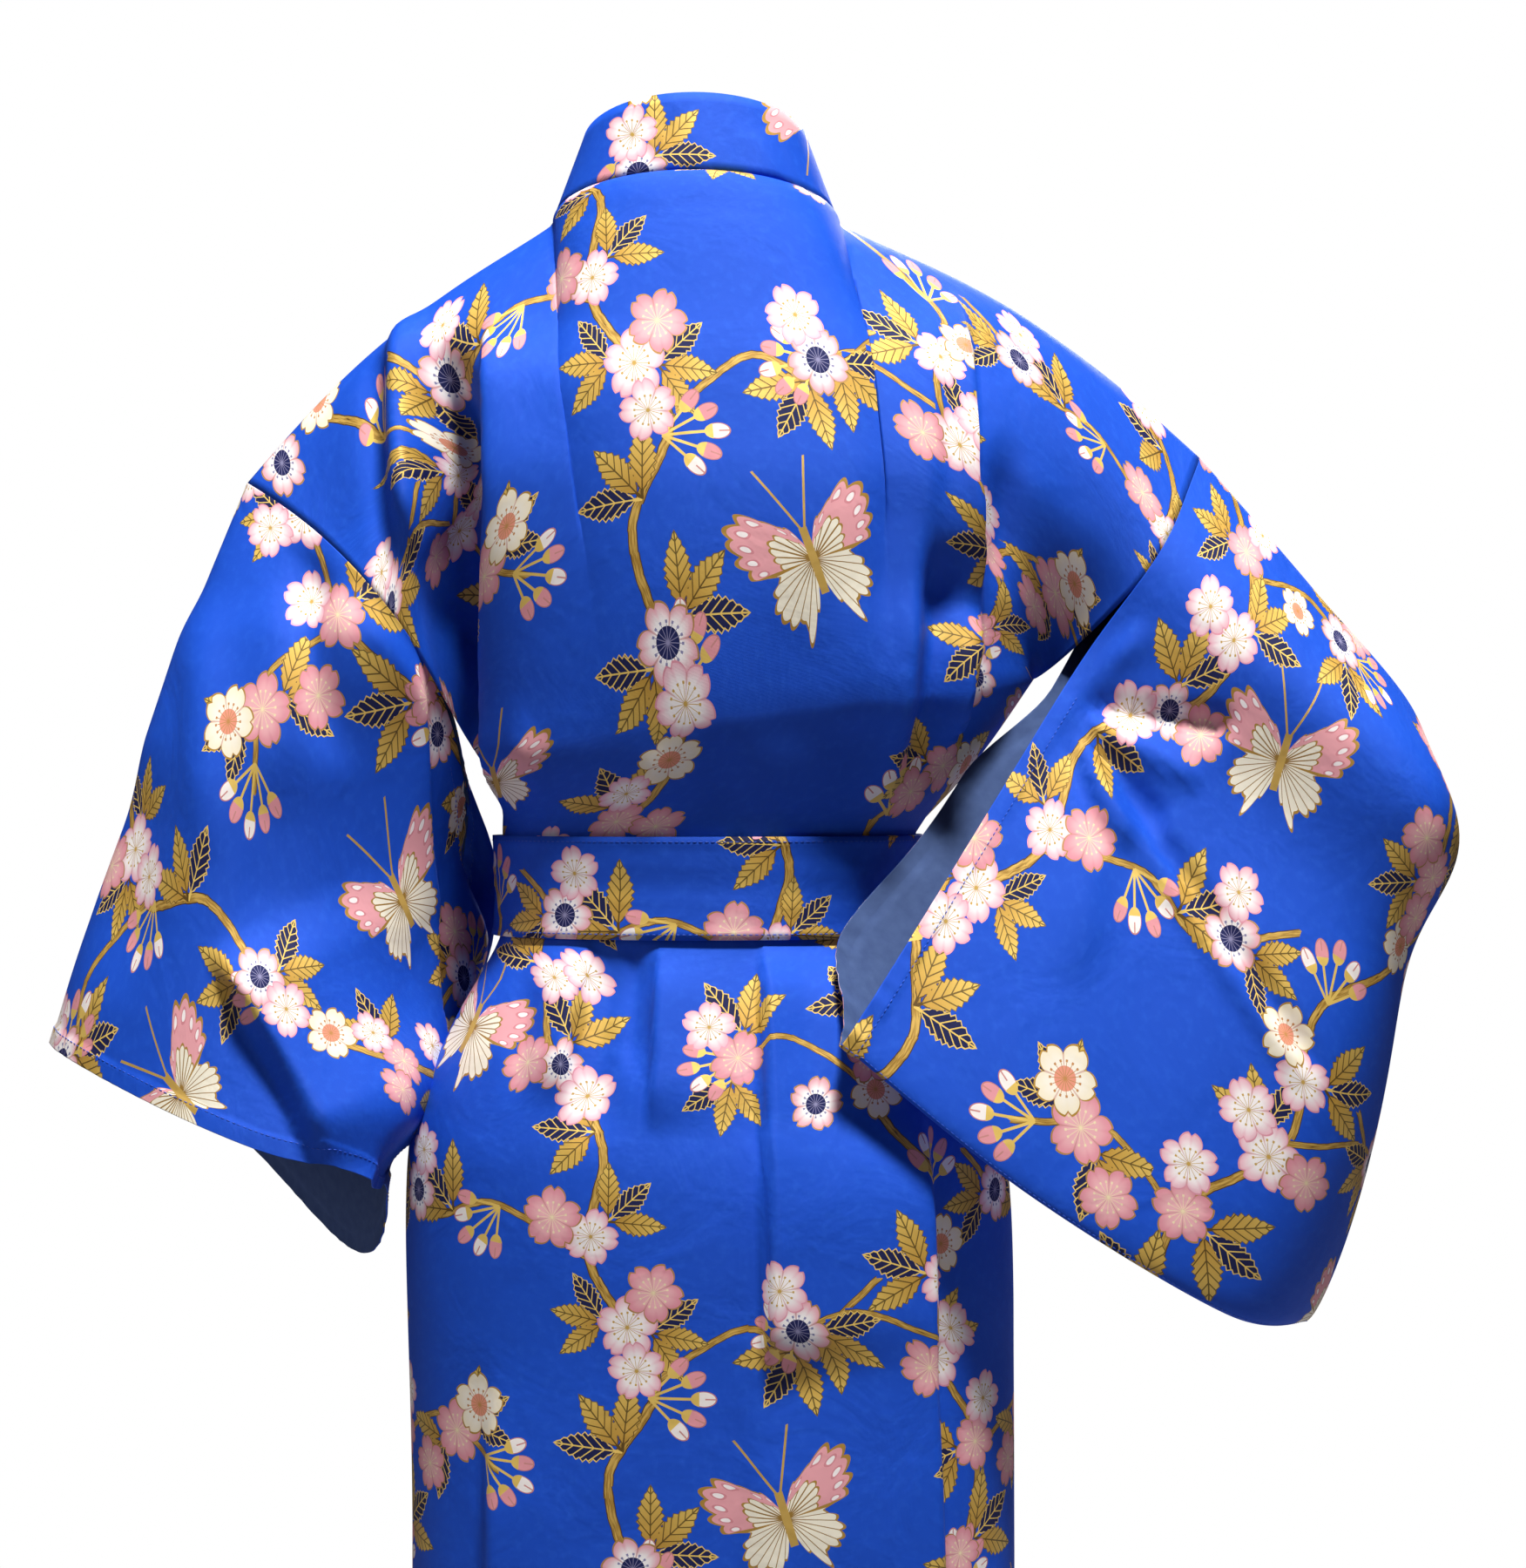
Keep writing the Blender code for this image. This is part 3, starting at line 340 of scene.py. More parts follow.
BLOSSOM_SIZE = (0.0165, 0.0200)
LEAF_SIZE = (0.034, 0.044)
BUD_SIZE = (0.036, 0.042)
BUTTERFLY_SIZE = 0.055
BUTTERFLIES = ((0.195, 0.335, 0.35), (0.395, 0.050, -0.30), (0.185, 0.515, -0.15))
BUTTERFLY_KEEP = 0.85
BLOSSOM_KINDS = (0.1, 0.1, 0.3, 0.3, 0.5, 0.7)
PRINT_SEED = 11
FIRST_MOTIF = 0.02
PAST_TIP = 0.005
MOTIF_SLACK = 0.009
MOTIF_GAP = (0.035, 0.055)
TWIG_TURN = (0.7, 1.4)
ANY_TURN = (0, 6.28)
# A cluster is two to four blossoms with a leaf spray on either side
CLUSTER_SHARE = 0.50
CLUSTER_COUNTS = (2, 3, 4)
CLUSTER_TURN = 2.1
CLUSTER_REACH = 0.026
CLUSTER_GAP = (0.050, 0.080)
SPRAY_OFFSET = 0.014
SPRAY_SHARE = 0.78
# A face takes the nearest motif within this many of its sizes, or branch within this distance
MOTIF_REACH = 1.55
BRANCH_REACH = 0.016
NO_MOTIF = 9.0


def chart_print():
    """Grow the repeat along its branches: lists of motifs as (x, y, angle, size, kind)."""
    chance = random.Random(PRINT_SEED)
    chart = {name: [] for name in ("blossom_a", "blossom_b", "leaf_a", "leaf_b", "bud",
                                   "butterfly")}
    taken = []

    def clear(x, y, reach):
        for other_x, other_y, other_reach in taken:
            dx = abs(x - other_x + REPEAT[0] / 2.0) % REPEAT[0] - REPEAT[0] / 2.0
            dy = abs(y - other_y + REPEAT[1] / 2.0) % REPEAT[1] - REPEAT[1] / 2.0
            if math.hypot(dx, dy) < reach + other_reach:
                return False
        return True

    def free(layer, x, y, reach):
        for other in chart[layer]:
            dx = (x - other[0] + REPEAT[0] / 2.0) % REPEAT[0] - REPEAT[0] / 2.0
            dy = (y - other[1] + REPEAT[1] / 2.0) % REPEAT[1] - REPEAT[1] / 2.0
            if math.hypot(dx, dy) < reach + other[5] + MOTIF_SLACK:
                return False
        return True

    def put(layers, x, y, angle, size, kind, reach):
        for layer in layers:
            if free(layer, x, y, reach):
                chart[layer].append((x, y, angle, size, kind, reach))
                return True
        return False

    for x, y, angle in BUTTERFLIES:
        put(("butterfly",), x, y, angle, BUTTERFLY_SIZE, 0.0, BUTTERFLY_SIZE)
        taken.append((x, y, BUTTERFLY_SIZE * BUTTERFLY_KEEP))
    for half_width, points in BRANCHES:
        points = np.array(points)
        lengths = np.linalg.norm(np.diff(points, axis=0), axis=1)
        total = lengths.sum()
        place = FIRST_MOTIF
        side = 1.0
        while place < total + PAST_TIP:
            spot = np.array([np.interp(min(place, total), np.concatenate([[0], np.cumsum(lengths)]),
                                       points[:, axis]) for axis in (0, 1)])
            step = np.searchsorted(np.cumsum(lengths), min(place, total - 1e-6))
            way = points[step + 1] - points[step]
            heading = math.atan2(way[1], way[0])
            pick = chance.random()
            turn = heading + side * chance.uniform(*TWIG_TURN)
            if pick < CLUSTER_SHARE:
                for count in range(chance.choice(CLUSTER_COUNTS)):
                    around = turn + count * CLUSTER_TURN + chance.uniform(-0.3, 0.3)
                    size = chance.uniform(*BLOSSOM_SIZE)
                    reach = 0.0 if count == 0 else CLUSTER_REACH
                    x = spot[0] + math.cos(around) * reach
                    y = spot[1] + math.sin(around) * reach
                    if clear(x, y, size * 0.2):
                        put(("blossom_a", "blossom_b"), x, y, chance.uniform(*ANY_TURN), size,
                            chance.choice(BLOSSOM_KINDS), size)
                for turn_back in (0.0, math.pi):
                    size = chance.uniform(*LEAF_SIZE)
                    put(("leaf_a", "leaf_b"), spot[0] + math.cos(turn + turn_back) * SPRAY_OFFSET,
                        spot[1] + math.sin(turn + turn_back) * SPRAY_OFFSET,
                        turn + turn_back, size, chance.random(), size * 0.75)
                place += chance.uniform(*CLUSTER_GAP)
            elif pick < SPRAY_SHARE:
                size = chance.uniform(*LEAF_SIZE)
                if clear(spot[0], spot[1], size * 0.4):
                    put(("leaf_a", "leaf_b"), spot[0], spot[1], turn, size, chance.random(),
                        size * 0.75)
                place += chance.uniform(*MOTIF_GAP)
            else:
                size = chance.uniform(*BUD_SIZE)
                if clear(spot[0], spot[1], size * 0.4):
                    put(("bud",), spot[0], spot[1], turn, size, chance.random(), size)
                place += chance.uniform(*MOTIF_GAP)
            side = -side
        size = chance.uniform(*BUD_SIZE)
        put(("bud",), points[-1][0], points[-1][1], heading, size, chance.random(), size)
    return {name: np.array([motif[:5] for motif in motifs]) for name, motifs in chart.items()}


CHART = chart_print()


def motif_places(corners, motifs):
    """For each face corner, its place in the nearest motif's own frame, with the motif's kind."""
    centres = corners.mean(axis=1)
    best = np.full(len(centres), np.inf)
    result = np.full(corners.shape[:2] + (3,), NO_MOTIF)
    for x, y, angle, size, kind in motifs:
        offset = centres - (x, y)
        shift = np.round(offset / REPEAT) * REPEAT
        distance = np.linalg.norm(offset - shift, axis=1) / size
        chosen = (distance < best) & (distance < MOTIF_REACH)
        best[chosen] = distance[chosen]
        local = (corners[chosen] - shift[chosen][:, None] - (x, y)) / size
        cos, sin = math.cos(angle), math.sin(angle)
        result[chosen, :, 0] = local[..., 0] * cos + local[..., 1] * sin
        result[chosen, :, 1] = -local[..., 0] * sin + local[..., 1] * cos
        result[chosen, :, 2] = kind
    return result


def branch_places(corners):
    """For each face corner, its place along and across the nearest branch, with its half width."""
    centres = corners.mean(axis=1)
    best = np.full(len(centres), BRANCH_REACH)
    result = np.full(corners.shape[:2] + (3,), NO_MOTIF)
    for half_width, points in BRANCHES:
        points = spline(points, np.linspace(0.0, len(points) - 1.0, 6 * len(points)))
        start_along = 0.0
        for a, b in zip(points[:-1], points[1:]):
            length = np.linalg.norm(b - a)
            way = (b - a) / length
            middle = (a + b) / 2.0
            offset = centres - middle
            shift = np.round(offset / REPEAT) * REPEAT
            offset = offset - shift
            along = np.clip(offset @ way, -length / 2.0, length / 2.0)
            distance = np.linalg.norm(offset - along[:, None] * way, axis=1)
            chosen = distance < best
            best[chosen] = distance[chosen]
            local = corners[chosen] - shift[chosen][:, None] - a
            result[chosen, :, 0] = start_along + local @ way
            result[chosen, :, 1] = (local @ np.array([-way[1], way[0]])) / half_width
            result[chosen, :, 2] = half_width
            start_along += length
    return result


def hex_colour(text):
    """A linear colour from a hex sRGB one."""
    values = [int(text[n:n + 2], 16) / 255.0 for n in (1, 3, 5)]
    linear = [v / 12.92 if v <= 0.04045 else ((v + 0.055) / 1.055) ** 2.4 for v in values]
    return (*linear, 1.0)


def add(tree, kind, values=(), out=0, **settings):
    """Add a node with its settings and links. A kind in capitals is a Math operation."""
    family = "ShaderNode" if hasattr(bpy.types, "ShaderNode" + kind) else "GeometryNode"
    made = tree.nodes.new("ShaderNodeMath" if kind.isupper() else family + kind)
    if kind.isupper():
        made.operation = kind
    for name, value in settings.items():
        if name == "stops":
            elements = made.color_ramp.elements
            while len(elements) < len(value):
                elements.new(0.5)
            for element, (position, colour) in zip(elements, value):
                element.position = position
                element.color = (hex_colour(colour) if isinstance(colour, str)
                                 else (colour,) * 3 + (1,))
        elif name == "interpolation" and kind == "ValToRGB":
            made.color_ramp.interpolation = value
        else:
            setattr(made, name, value)
    for place, value in (values.items() if isinstance(values, dict) else enumerate(values)):
        if isinstance(value, bpy.types.NodeSocket):
            tree.links.new(value, made.inputs[place])
        else:
            made.inputs[place].default_value = value
    return made.outputs[out]


def paint(tree, under, colour, mask):
    """A colour laid over another where the mask is 1."""
    return add(tree, "Mix", {0: mask, 6: under, 7: colour}, out=2, data_type="RGBA")


def motif_group(name, draw):
    """A node group that draws one motif from its own frame."""
    tree = bpy.data.node_groups.new(name, "ShaderNodeTree")
    tree.interface.new_socket("Place", in_out="INPUT", socket_type="NodeSocketVector")
    tree.interface.new_socket("Colour", in_out="OUTPUT", socket_type="NodeSocketColor")
    tree.interface.new_socket("Mask", in_out="OUTPUT", socket_type="NodeSocketFloat")
    tree.interface.new_socket("Gold", in_out="OUTPUT", socket_type="NodeSocketFloat")
    start = tree.nodes.new("NodeGroupInput")
    end = tree.nodes.new("NodeGroupOutput")
    x, y, kind = add(tree, "SeparateXYZ", (start.outputs[0],)).node.outputs
    flat = add(tree, "CombineXYZ", (x, y, 0.0))
    radius = add(tree, "VectorMath", (flat,), out=1, operation="LENGTH")
    angle = add(tree, "ARCTAN2", (y, x))
    for number, value in enumerate(draw(tree, x, y, kind, radius, angle)):
        tree.links.new(value, end.inputs[number])
    return tree


GOLD = "#ecc765"
GOLD_DARK = "#c1923a"
NAVY = "#14194a"
# Four kinds of blossom: pink, white with a pink rim, white with a navy eye, and cream. The rows
# are the petal's middle, its rim, its edge, the eye, the stamens, and the size of the eye
BLOSSOM_KIND_STARTS = (0.0, 0.2, 0.4, 0.6)
BLOSSOM_LOOKS = (
    ("#efb2b4", "#fbf3ee", "#fbf5f0", "#f8efdc"),
    ("#e2909c", "#eeb6c0", "#e8a0aa", "#f6e8c8"),
    ("#b98a4a", "#e79aa8", "#b58a4c", "#b98d36"),
    ("#b98a3c", "#b98a3c", "#161c52", "#e8977c"),
    ("#f5dfb4", "#c9a24e", "#8a86a8", "#c48a4e"),
    (0.06, 0.06, 0.36, 0.33),
)


def draw_blossom(tree, x, y, kind, radius, angle):
    """Five notched petals with a rim, stamens and an eye."""
    looks = [add(tree, "ValToRGB", (kind,), interpolation="CONSTANT",
                 stops=tuple(zip(BLOSSOM_KIND_STARTS, look))) for look in BLOSSOM_LOOKS]
    middle, rim, edge_colour, eye_colour, ray_colour, eye_size = looks
    wave = add(tree, "PINGPONG", (add(tree, "MULTIPLY", (angle, 5.0 / math.tau)), 0.5))
    side = add(tree, "MULTIPLY", (wave, 2.0))
    tip = add(tree, "COSINE", (add(tree, "MULTIPLY", (side, 1.5)),))
    round_tip = add(tree, "POWER", (tip, 0.5))
    notch = add(tree, "MAXIMUM", (add(tree, "MULTIPLY_ADD", (side, -0.75, 0.13)), 0.0))
    reach = add(tree, "SUBTRACT", (add(tree, "MULTIPLY_ADD", (round_tip, 0.48, 0.52)), notch))
    share = add(tree, "DIVIDE", (radius, reach))
    mask = add(tree, "LESS_THAN", (share, 1.0))
    blend = add(tree, "MapRange", (share, 0.45, 1.0, 0.0, 1.0), interpolation_type="SMOOTHSTEP")
    colour = paint(tree, middle, rim, blend)
    join = add(tree, "MULTIPLY", (add(tree, "GREATER_THAN", (side, 0.93)), 0.6))
    colour = paint(tree, colour, hex_colour("#c98a80"), join)
    edge = add(tree, "GREATER_THAN", (share, 0.94))
    colour = paint(tree, colour, edge_colour, edge)
    eye = add(tree, "LESS_THAN", (radius, eye_size))
    colour = paint(tree, colour, eye_colour, eye)
    rays = add(tree, "PINGPONG", (add(tree, "MULTIPLY", (angle, 15.0 / math.tau)), 0.5))
    thin = add(tree, "LESS_THAN", (add(tree, "MULTIPLY", (rays, radius)), 0.022))
    near = add(tree, "LESS_THAN", (radius, 0.42))
    dots = add(tree, "LESS_THAN", (add(tree, "ABSOLUTE", (add(tree, "SUBTRACT", (radius, 0.46)),)),
                                   0.035))
    dots = add(tree, "MULTIPLY", (dots, add(tree, "LESS_THAN", (rays, 0.17))))
    stamens = add(tree, "MAXIMUM", (add(tree, "MULTIPLY", (thin, near)), dots))
    colour = paint(tree, colour, ray_colour, stamens)
    return colour, mask, add(tree, "MULTIPLY", (edge, mask))


def fanned(tree, radius, angle, spacing, most):
    """The nearest of the rays of a fan: its number and the place along and beside it."""
    number = add(tree, "ROUND", (add(tree, "DIVIDE", (angle, spacing)),))
    number = add(tree, "MAXIMUM", (add(tree, "MINIMUM", (number, most)), -most))
    turned = add(tree, "SUBTRACT", (angle, add(tree, "MULTIPLY", (number, spacing))))
    along = add(tree, "MULTIPLY", (radius, add(tree, "COSINE", (turned,))))
    beside = add(tree, "MULTIPLY", (radius, add(tree, "SINE", (turned,))))
    return number, along, add(tree, "ABSOLUTE", (beside,))


def draw_leaves(tree, x, y, kind, radius, angle):
    """A spray of three toothed leaves, gold with dark veins or navy with gold ones."""
    number, along, beside = fanned(tree, radius, angle, 0.80, 1.0)
    share = add(tree, "MapRange", (along, 0.10, 1.0, 0.0, 1.0))
    teeth = add(tree, "PINGPONG", (add(tree, "MULTIPLY", (share, 9.0)), 0.5))
    body = add(tree, "SINE", (add(tree, "MULTIPLY", (add(tree, "POWER", (share, 0.85)), math.pi)),))
    half = add(tree, "MULTIPLY", (body, add(tree, "MULTIPLY_ADD", (teeth, 0.10, 0.17))))
    inside = add(tree, "SUBTRACT", (half, beside))
    leaf = add(tree, "GREATER_THAN", (inside, 0.0))
    stem = add(tree, "MULTIPLY", (add(tree, "LESS_THAN", (along, 0.16)),
                                  add(tree, "LESS_THAN", (beside, 0.022))))
    stem = add(tree, "MULTIPLY", (stem, add(tree, "GREATER_THAN", (along, 0.0))))
    mask = add(tree, "MAXIMUM", (leaf, stem))
    slant = add(tree, "MULTIPLY_ADD", (beside, -1.3, share))
    veins = add(tree, "PINGPONG", (add(tree, "MULTIPLY", (slant, 6.0)), 0.5))
    veins = add(tree, "LESS_THAN", (veins, 0.085))
    veins = add(tree, "MAXIMUM", (veins, add(tree, "LESS_THAN", (beside, 0.010))))
    outline = add(tree, "LESS_THAN", (inside, 0.020))
    pick = add(tree, "FRACT", (add(tree, "MULTIPLY_ADD", (number, 0.37, kind)),))
    dark = add(tree, "GREATER_THAN", (pick, 0.62))
    gold = paint(tree, hex_colour(GOLD_DARK), hex_colour(GOLD), share)
    lines = add(tree, "MAXIMUM", (veins, add(tree, "LESS_THAN", (inside, 0.014))))
    gold = paint(tree, gold, hex_colour("#33240f"), add(tree, "MULTIPLY", (lines, 0.80)))
    night = paint(tree, hex_colour(NAVY), hex_colour(GOLD), add(tree, "MAXIMUM", (veins, outline)))
    colour = paint(tree, gold, night, dark)
    return colour, mask, add(tree, "MULTIPLY", (mask, add(tree, "SUBTRACT", (1.0, dark))))


def draw_buds(tree, x, y, kind, radius, angle):
    """A fan of buds on thin gold stems, each in its calyx."""
    number, along, beside = fanned(tree, radius, angle, 0.40, 2.0)
    swing = add(tree, "MULTIPLY_ADD", (add(tree, "ABSOLUTE", (number,)), -0.09, 0.80))
    stem = add(tree, "MULTIPLY", (add(tree, "LESS_THAN", (along, swing)),
                                  add(tree, "LESS_THAN", (beside, 0.020))))
    stem = add(tree, "MULTIPLY", (stem, add(tree, "GREATER_THAN", (along, 0.0))))
    from_middle = add(tree, "DIVIDE", (add(tree, "SUBTRACT", (along, swing)), 0.19))
    oval = add(tree, "ADD", (add(tree, "POWER", (from_middle, 2.0)),
                             add(tree, "POWER", (add(tree, "DIVIDE", (beside, 0.115)), 2.0))))
    bud = add(tree, "LESS_THAN", (oval, 1.0))
    mask = add(tree, "MAXIMUM", (stem, bud))
    pick = add(tree, "FRACT", (add(tree, "MULTIPLY_ADD", (number, 0.41, kind)),))
    petal = paint(tree, hex_colour("#f9f0e8"), hex_colour("#e79a9f"),
                  add(tree, "GREATER_THAN", (pick, 0.45)))
    petal = paint(tree, petal, hex_colour("#c98078"), add(tree, "GREATER_THAN", (oval, 0.80)))
    split = add(tree, "MULTIPLY", (add(tree, "LESS_THAN", (beside, 0.010)),
                                   add(tree, "GREATER_THAN", (from_middle, 0.1))))
    petal = paint(tree, petal, hex_colour("#d08c84"), split)
    green = add(tree, "LESS_THAN", (from_middle, -0.35))
    colour = paint(tree, petal, hex_colour(GOLD), green)
    return colour, mask, add(tree, "MULTIPLY", (mask, green))


def draw_branch(tree, x, y, kind, radius, angle):
    """Gold bark with dark strokes along it and an uneven edge."""
    spot = add(tree, "CombineXYZ", (add(tree, "MULTIPLY", (x, 70.0)), 0.0, 0.0))
    wobble = add(tree, "TexNoise", {"Vector": spot, "Scale": 1.0, "Detail": 2.0})
    y = add(tree, "ADD", (y, add(tree, "MULTIPLY_ADD", (wobble, 0.9, -0.45))))
    size = add(tree, "ABSOLUTE", (y,))
    mask = add(tree, "LESS_THAN", (size, 1.0))
    spot = add(tree, "CombineXYZ", (add(tree, "MULTIPLY", (x, 90.0)),
                                    add(tree, "MULTIPLY", (y, 2.6)), 0.0))
    grain = add(tree, "TexNoise", {"Vector": spot, "Scale": 1.0, "Detail": 3.0})
    colour = paint(tree, hex_colour("#d9b159"), hex_colour("#a57c30"),
                   add(tree, "MapRange", (grain, 0.40, 0.60, 0.0, 1.0)))
    colour = paint(tree, colour, hex_colour("#3a2b17"), add(tree, "GREATER_THAN", (grain, 0.68)))
    low = add(tree, "GREATER_THAN", (size, 0.80))
    colour = paint(tree, colour, hex_colour("#4a3418"), low)
    return colour, mask, add(tree, "MULTIPLY", (mask, 0.9))


def draw_butterfly(tree, x, y, kind, radius, angle):
    """Two pairs of wings: a pink band with ringed dots, cream inside with gold veins."""
    half_x = add(tree, "ABSOLUTE", (x,))
    angle = add(tree, "ARCTAN2", (y, half_x))
    turn = add(tree, "MULTIPLY_ADD", (angle, 1.0 / math.pi, 0.5))
    reach = add(tree, "ValToRGB", (turn,), interpolation="EASE",
                stops=((0.04, 0.14), (0.10, 0.46), (0.15, 0.74), (0.19, 0.56), (0.26, 0.66),
                       (0.34, 0.66), (0.42, 0.56), (0.475, 0.42), (0.52, 0.72), (0.60, 0.86),
                       (0.68, 1.0), (0.74, 0.92), (0.82, 0.46), (0.94, 0.08)))
    ribs = add(tree, "PINGPONG", (add(tree, "MULTIPLY", (turn, 18.0)), 0.5))
    scallop = add(tree, "POWER", (add(tree, "MULTIPLY_ADD", (ribs, -2.0, 1.0)), 2.0))
    reach = add(tree, "MULTIPLY", (reach, add(tree, "MULTIPLY_ADD", (scallop, -0.09, 1.0))))
    share = add(tree, "DIVIDE", (radius, reach))
    wing = add(tree, "LESS_THAN", (share, 1.0))
    fore = add(tree, "GREATER_THAN", (turn, 0.50))
    outer = add(tree, "MULTIPLY", (fore, add(tree, "GREATER_THAN", (share, 0.50))))
    veins = add(tree, "LESS_THAN", (add(tree, "MULTIPLY", (ribs, share)), 0.045))
    inner = paint(tree, hex_colour("#f7eed6"), hex_colour("#9a7430"), veins)
    aside = add(tree, "MULTIPLY", (add(tree, "SUBTRACT", (0.5, ribs)), 0.30))
    outward = add(tree, "SUBTRACT", (share, 0.78))
    dot = add(tree, "ADD", (add(tree, "POWER", (aside, 2.0)),
                            add(tree, "POWER", (outward, 2.0))))
    band = paint(tree, hex_colour("#eba4a8"), hex_colour("#d98a90"),
                 add(tree, "LESS_THAN", (dot, 0.0080)))
    band = paint(tree, band, hex_colour("#fbf1ec"), add(tree, "LESS_THAN", (dot, 0.0036)))
    colour = paint(tree, inner, band, outer)
    rim = add(tree, "GREATER_THAN", (share, 0.945))
    gap = add(tree, "LESS_THAN", (add(tree, "ABSOLUTE", (add(tree, "SUBTRACT", (turn, 0.50)),)),
                                  0.012))
    line = add(tree, "LESS_THAN", (add(tree, "ABSOLUTE", (add(tree, "SUBTRACT", (share, 0.50)),)),
                                   0.014))
    line = add(tree, "MULTIPLY", (line, fore))
    rim = add(tree, "MAXIMUM", (add(tree, "MAXIMUM", (rim, gap)), line))
    colour = paint(tree, colour, hex_colour("#b48a3c"), rim)
    trunk = add(tree, "MULTIPLY", (add(tree, "LESS_THAN", (half_x, 0.045)),
                                   add(tree, "LESS_THAN", (add(tree, "ABSOLUTE", (y,)), 0.30))))
    feeler = add(tree, "SUBTRACT", (half_x, add(tree, "MULTIPLY_ADD", (y, 0.42, -0.10))))
    feeler = add(tree, "LESS_THAN", (add(tree, "ABSOLUTE", (feeler,)), 0.014))
    feeler = add(tree, "MULTIPLY", (feeler, add(tree, "GREATER_THAN", (y, 0.28))))
    feeler = add(tree, "MULTIPLY", (feeler, add(tree, "LESS_THAN", (y, 0.95))))
    body = add(tree, "MAXIMUM", (trunk, feeler))
    colour = paint(tree, colour, hex_colour("#c8a250"), body)
    mask = add(tree, "MAXIMUM", (wing, body))
    return colour, mask, add(tree, "MULTIPLY", (mask, rim))


MOTIFS = {"blossom": motif_group("blossom", draw_blossom), "leaf": motif_group("leaf", draw_leaves),
          "bud": motif_group("bud", draw_buds), "branch": motif_group("branch", draw_branch),
          "butterfly": motif_group("butterfly", draw_butterfly)}
LAYERS = ("branch", "leaf_a", "leaf_b", "bud", "blossom_a", "blossom_b", "butterfly")


def new_material(name):
    """A new node material, with its tree and its Principled shader."""
    material = bpy.data.materials.new(name)
    material.use_nodes = True
    tree = material.node_tree
    return material, tree, tree.nodes["Principled BSDF"]


# Threads are drawn at twice their size to show: 0.35 mm apart in the warp, 0.45 mm in the weft
WARP_SCALE = 900.0
WEFT_SCALE = 700.0
SLUB_SCALE = 160.0
WEAVE_DEPTH = 0.0004
WRINKLE_SCALE = 16.0
WRINKLE_DEPTH = 0.0045


def weave_bump(tree, strength):
    """Cotton sateen: fine threads both ways and soft wrinkles."""
    place = add(tree, "UVMap", uv_map="cloth")
    warp = add(tree, "TexWave", {"Vector": place, "Scale": WARP_SCALE, "Distortion": 3.0,
                                 "Detail": 2.0}, out=1, bands_direction="X")
    weft = add(tree, "TexWave", {"Vector": place, "Scale": WEFT_SCALE, "Distortion": 3.0,
                                 "Detail": 2.0}, out=1, bands_direction="Y")
    threads = add(tree, "MULTIPLY", (warp, weft))
    slub = add(tree, "TexNoise", {"Vector": place, "Scale": SLUB_SCALE, "Detail": 4.0})
    height = add(tree, "ADD", (threads, add(tree, "MULTIPLY", (slub, 1.5))))
    crease = add(tree, "TexNoise", {"Vector": place, "Scale": WRINKLE_SCALE, "Detail": 4.0,
                                    "Distortion": 0.6})
    creased = add(tree, "Bump", {"Strength": 0.55, "Distance": WRINKLE_DEPTH, "Height": crease})
    return add(tree, "Bump", {"Strength": strength, "Distance": WEAVE_DEPTH, "Height": height,
                              "Normal": creased}), slub


def print_material():
    """Mercerised cotton sateen, reactive dyed royal blue and screen printed with metallic gold."""
    material, tree, shader = new_material("print_cotton")
    bump, slub = weave_bump(tree, 0.35)
    place = add(tree, "UVMap", uv_map="cloth")
    cloud = add(tree, "TexNoise", {"Vector": place, "Scale": 9.0, "Detail": 3.0})
    colour = paint(tree, hex_colour("#0f52cf"), hex_colour("#0d49be"), cloud)
    colour = paint(tree, colour, hex_colour("#2463d8"), add(tree, "MapRange", (slub, 0.5, 0.8, 0.0,
                                                                              0.4)))
    gold = None
    for layer in LAYERS:
        where = add(tree, "Attribute", out=1, attribute_name=layer)
        drawn = tree.nodes.new("ShaderNodeGroup")
        drawn.node_tree = MOTIFS[layer.split("_")[0]]
        tree.links.new(where, drawn.inputs[0])
        colour = paint(tree, colour, drawn.outputs[0], drawn.outputs[1])
        if gold is None:
            gold = drawn.outputs[2]
        else:
            kept = add(tree, "MULTIPLY", (gold, add(tree, "SUBTRACT", (1.0, drawn.outputs[1]))))
            gold = add(tree, "ADD", (kept, drawn.outputs[2]), use_clamp=True)
    tree.links.new(colour, shader.inputs["Base Color"])
    tree.links.new(bump, shader.inputs["Normal"])
    tree.links.new(add(tree, "MULTIPLY", (gold, 0.18)), shader.inputs["Metallic"])
    tree.links.new(add(tree, "MULTIPLY_ADD", (gold, -0.22, 0.62)), shader.inputs["Roughness"])
    shader.inputs["IOR"].default_value = 1.5
    shader.inputs["Specular IOR Level"].default_value = 0.25
    shader.inputs["Sheen Weight"].default_value = 0.02
    shader.inputs["Sheen Roughness"].default_value = 0.4
    shader.inputs["Sheen Tint"].default_value = hex_colour("#8fa6ee")
    return material


def reverse_material():
    """The unprinted side of the cotton: the dye shows through greyer and paler."""
    material, tree, shader = new_material("cotton_reverse")
    bump, slub = weave_bump(tree, 0.5)
    colour = paint(tree, hex_colour("#2f4678"), hex_colour("#48608f"), slub)
    tree.links.new(colour, shader.inputs["Base Color"])
    tree.links.new(bump, shader.inputs["Normal"])
    shader.inputs["Roughness"].default_value = 0.8
    shader.inputs["IOR"].default_value = 1.5
    return material


PRINT = print_material()
REVERSE = reverse_material()
CLOTH_THICK = 0.0009
ARMHOLE_STEPS = 46
STEP = 0.0062


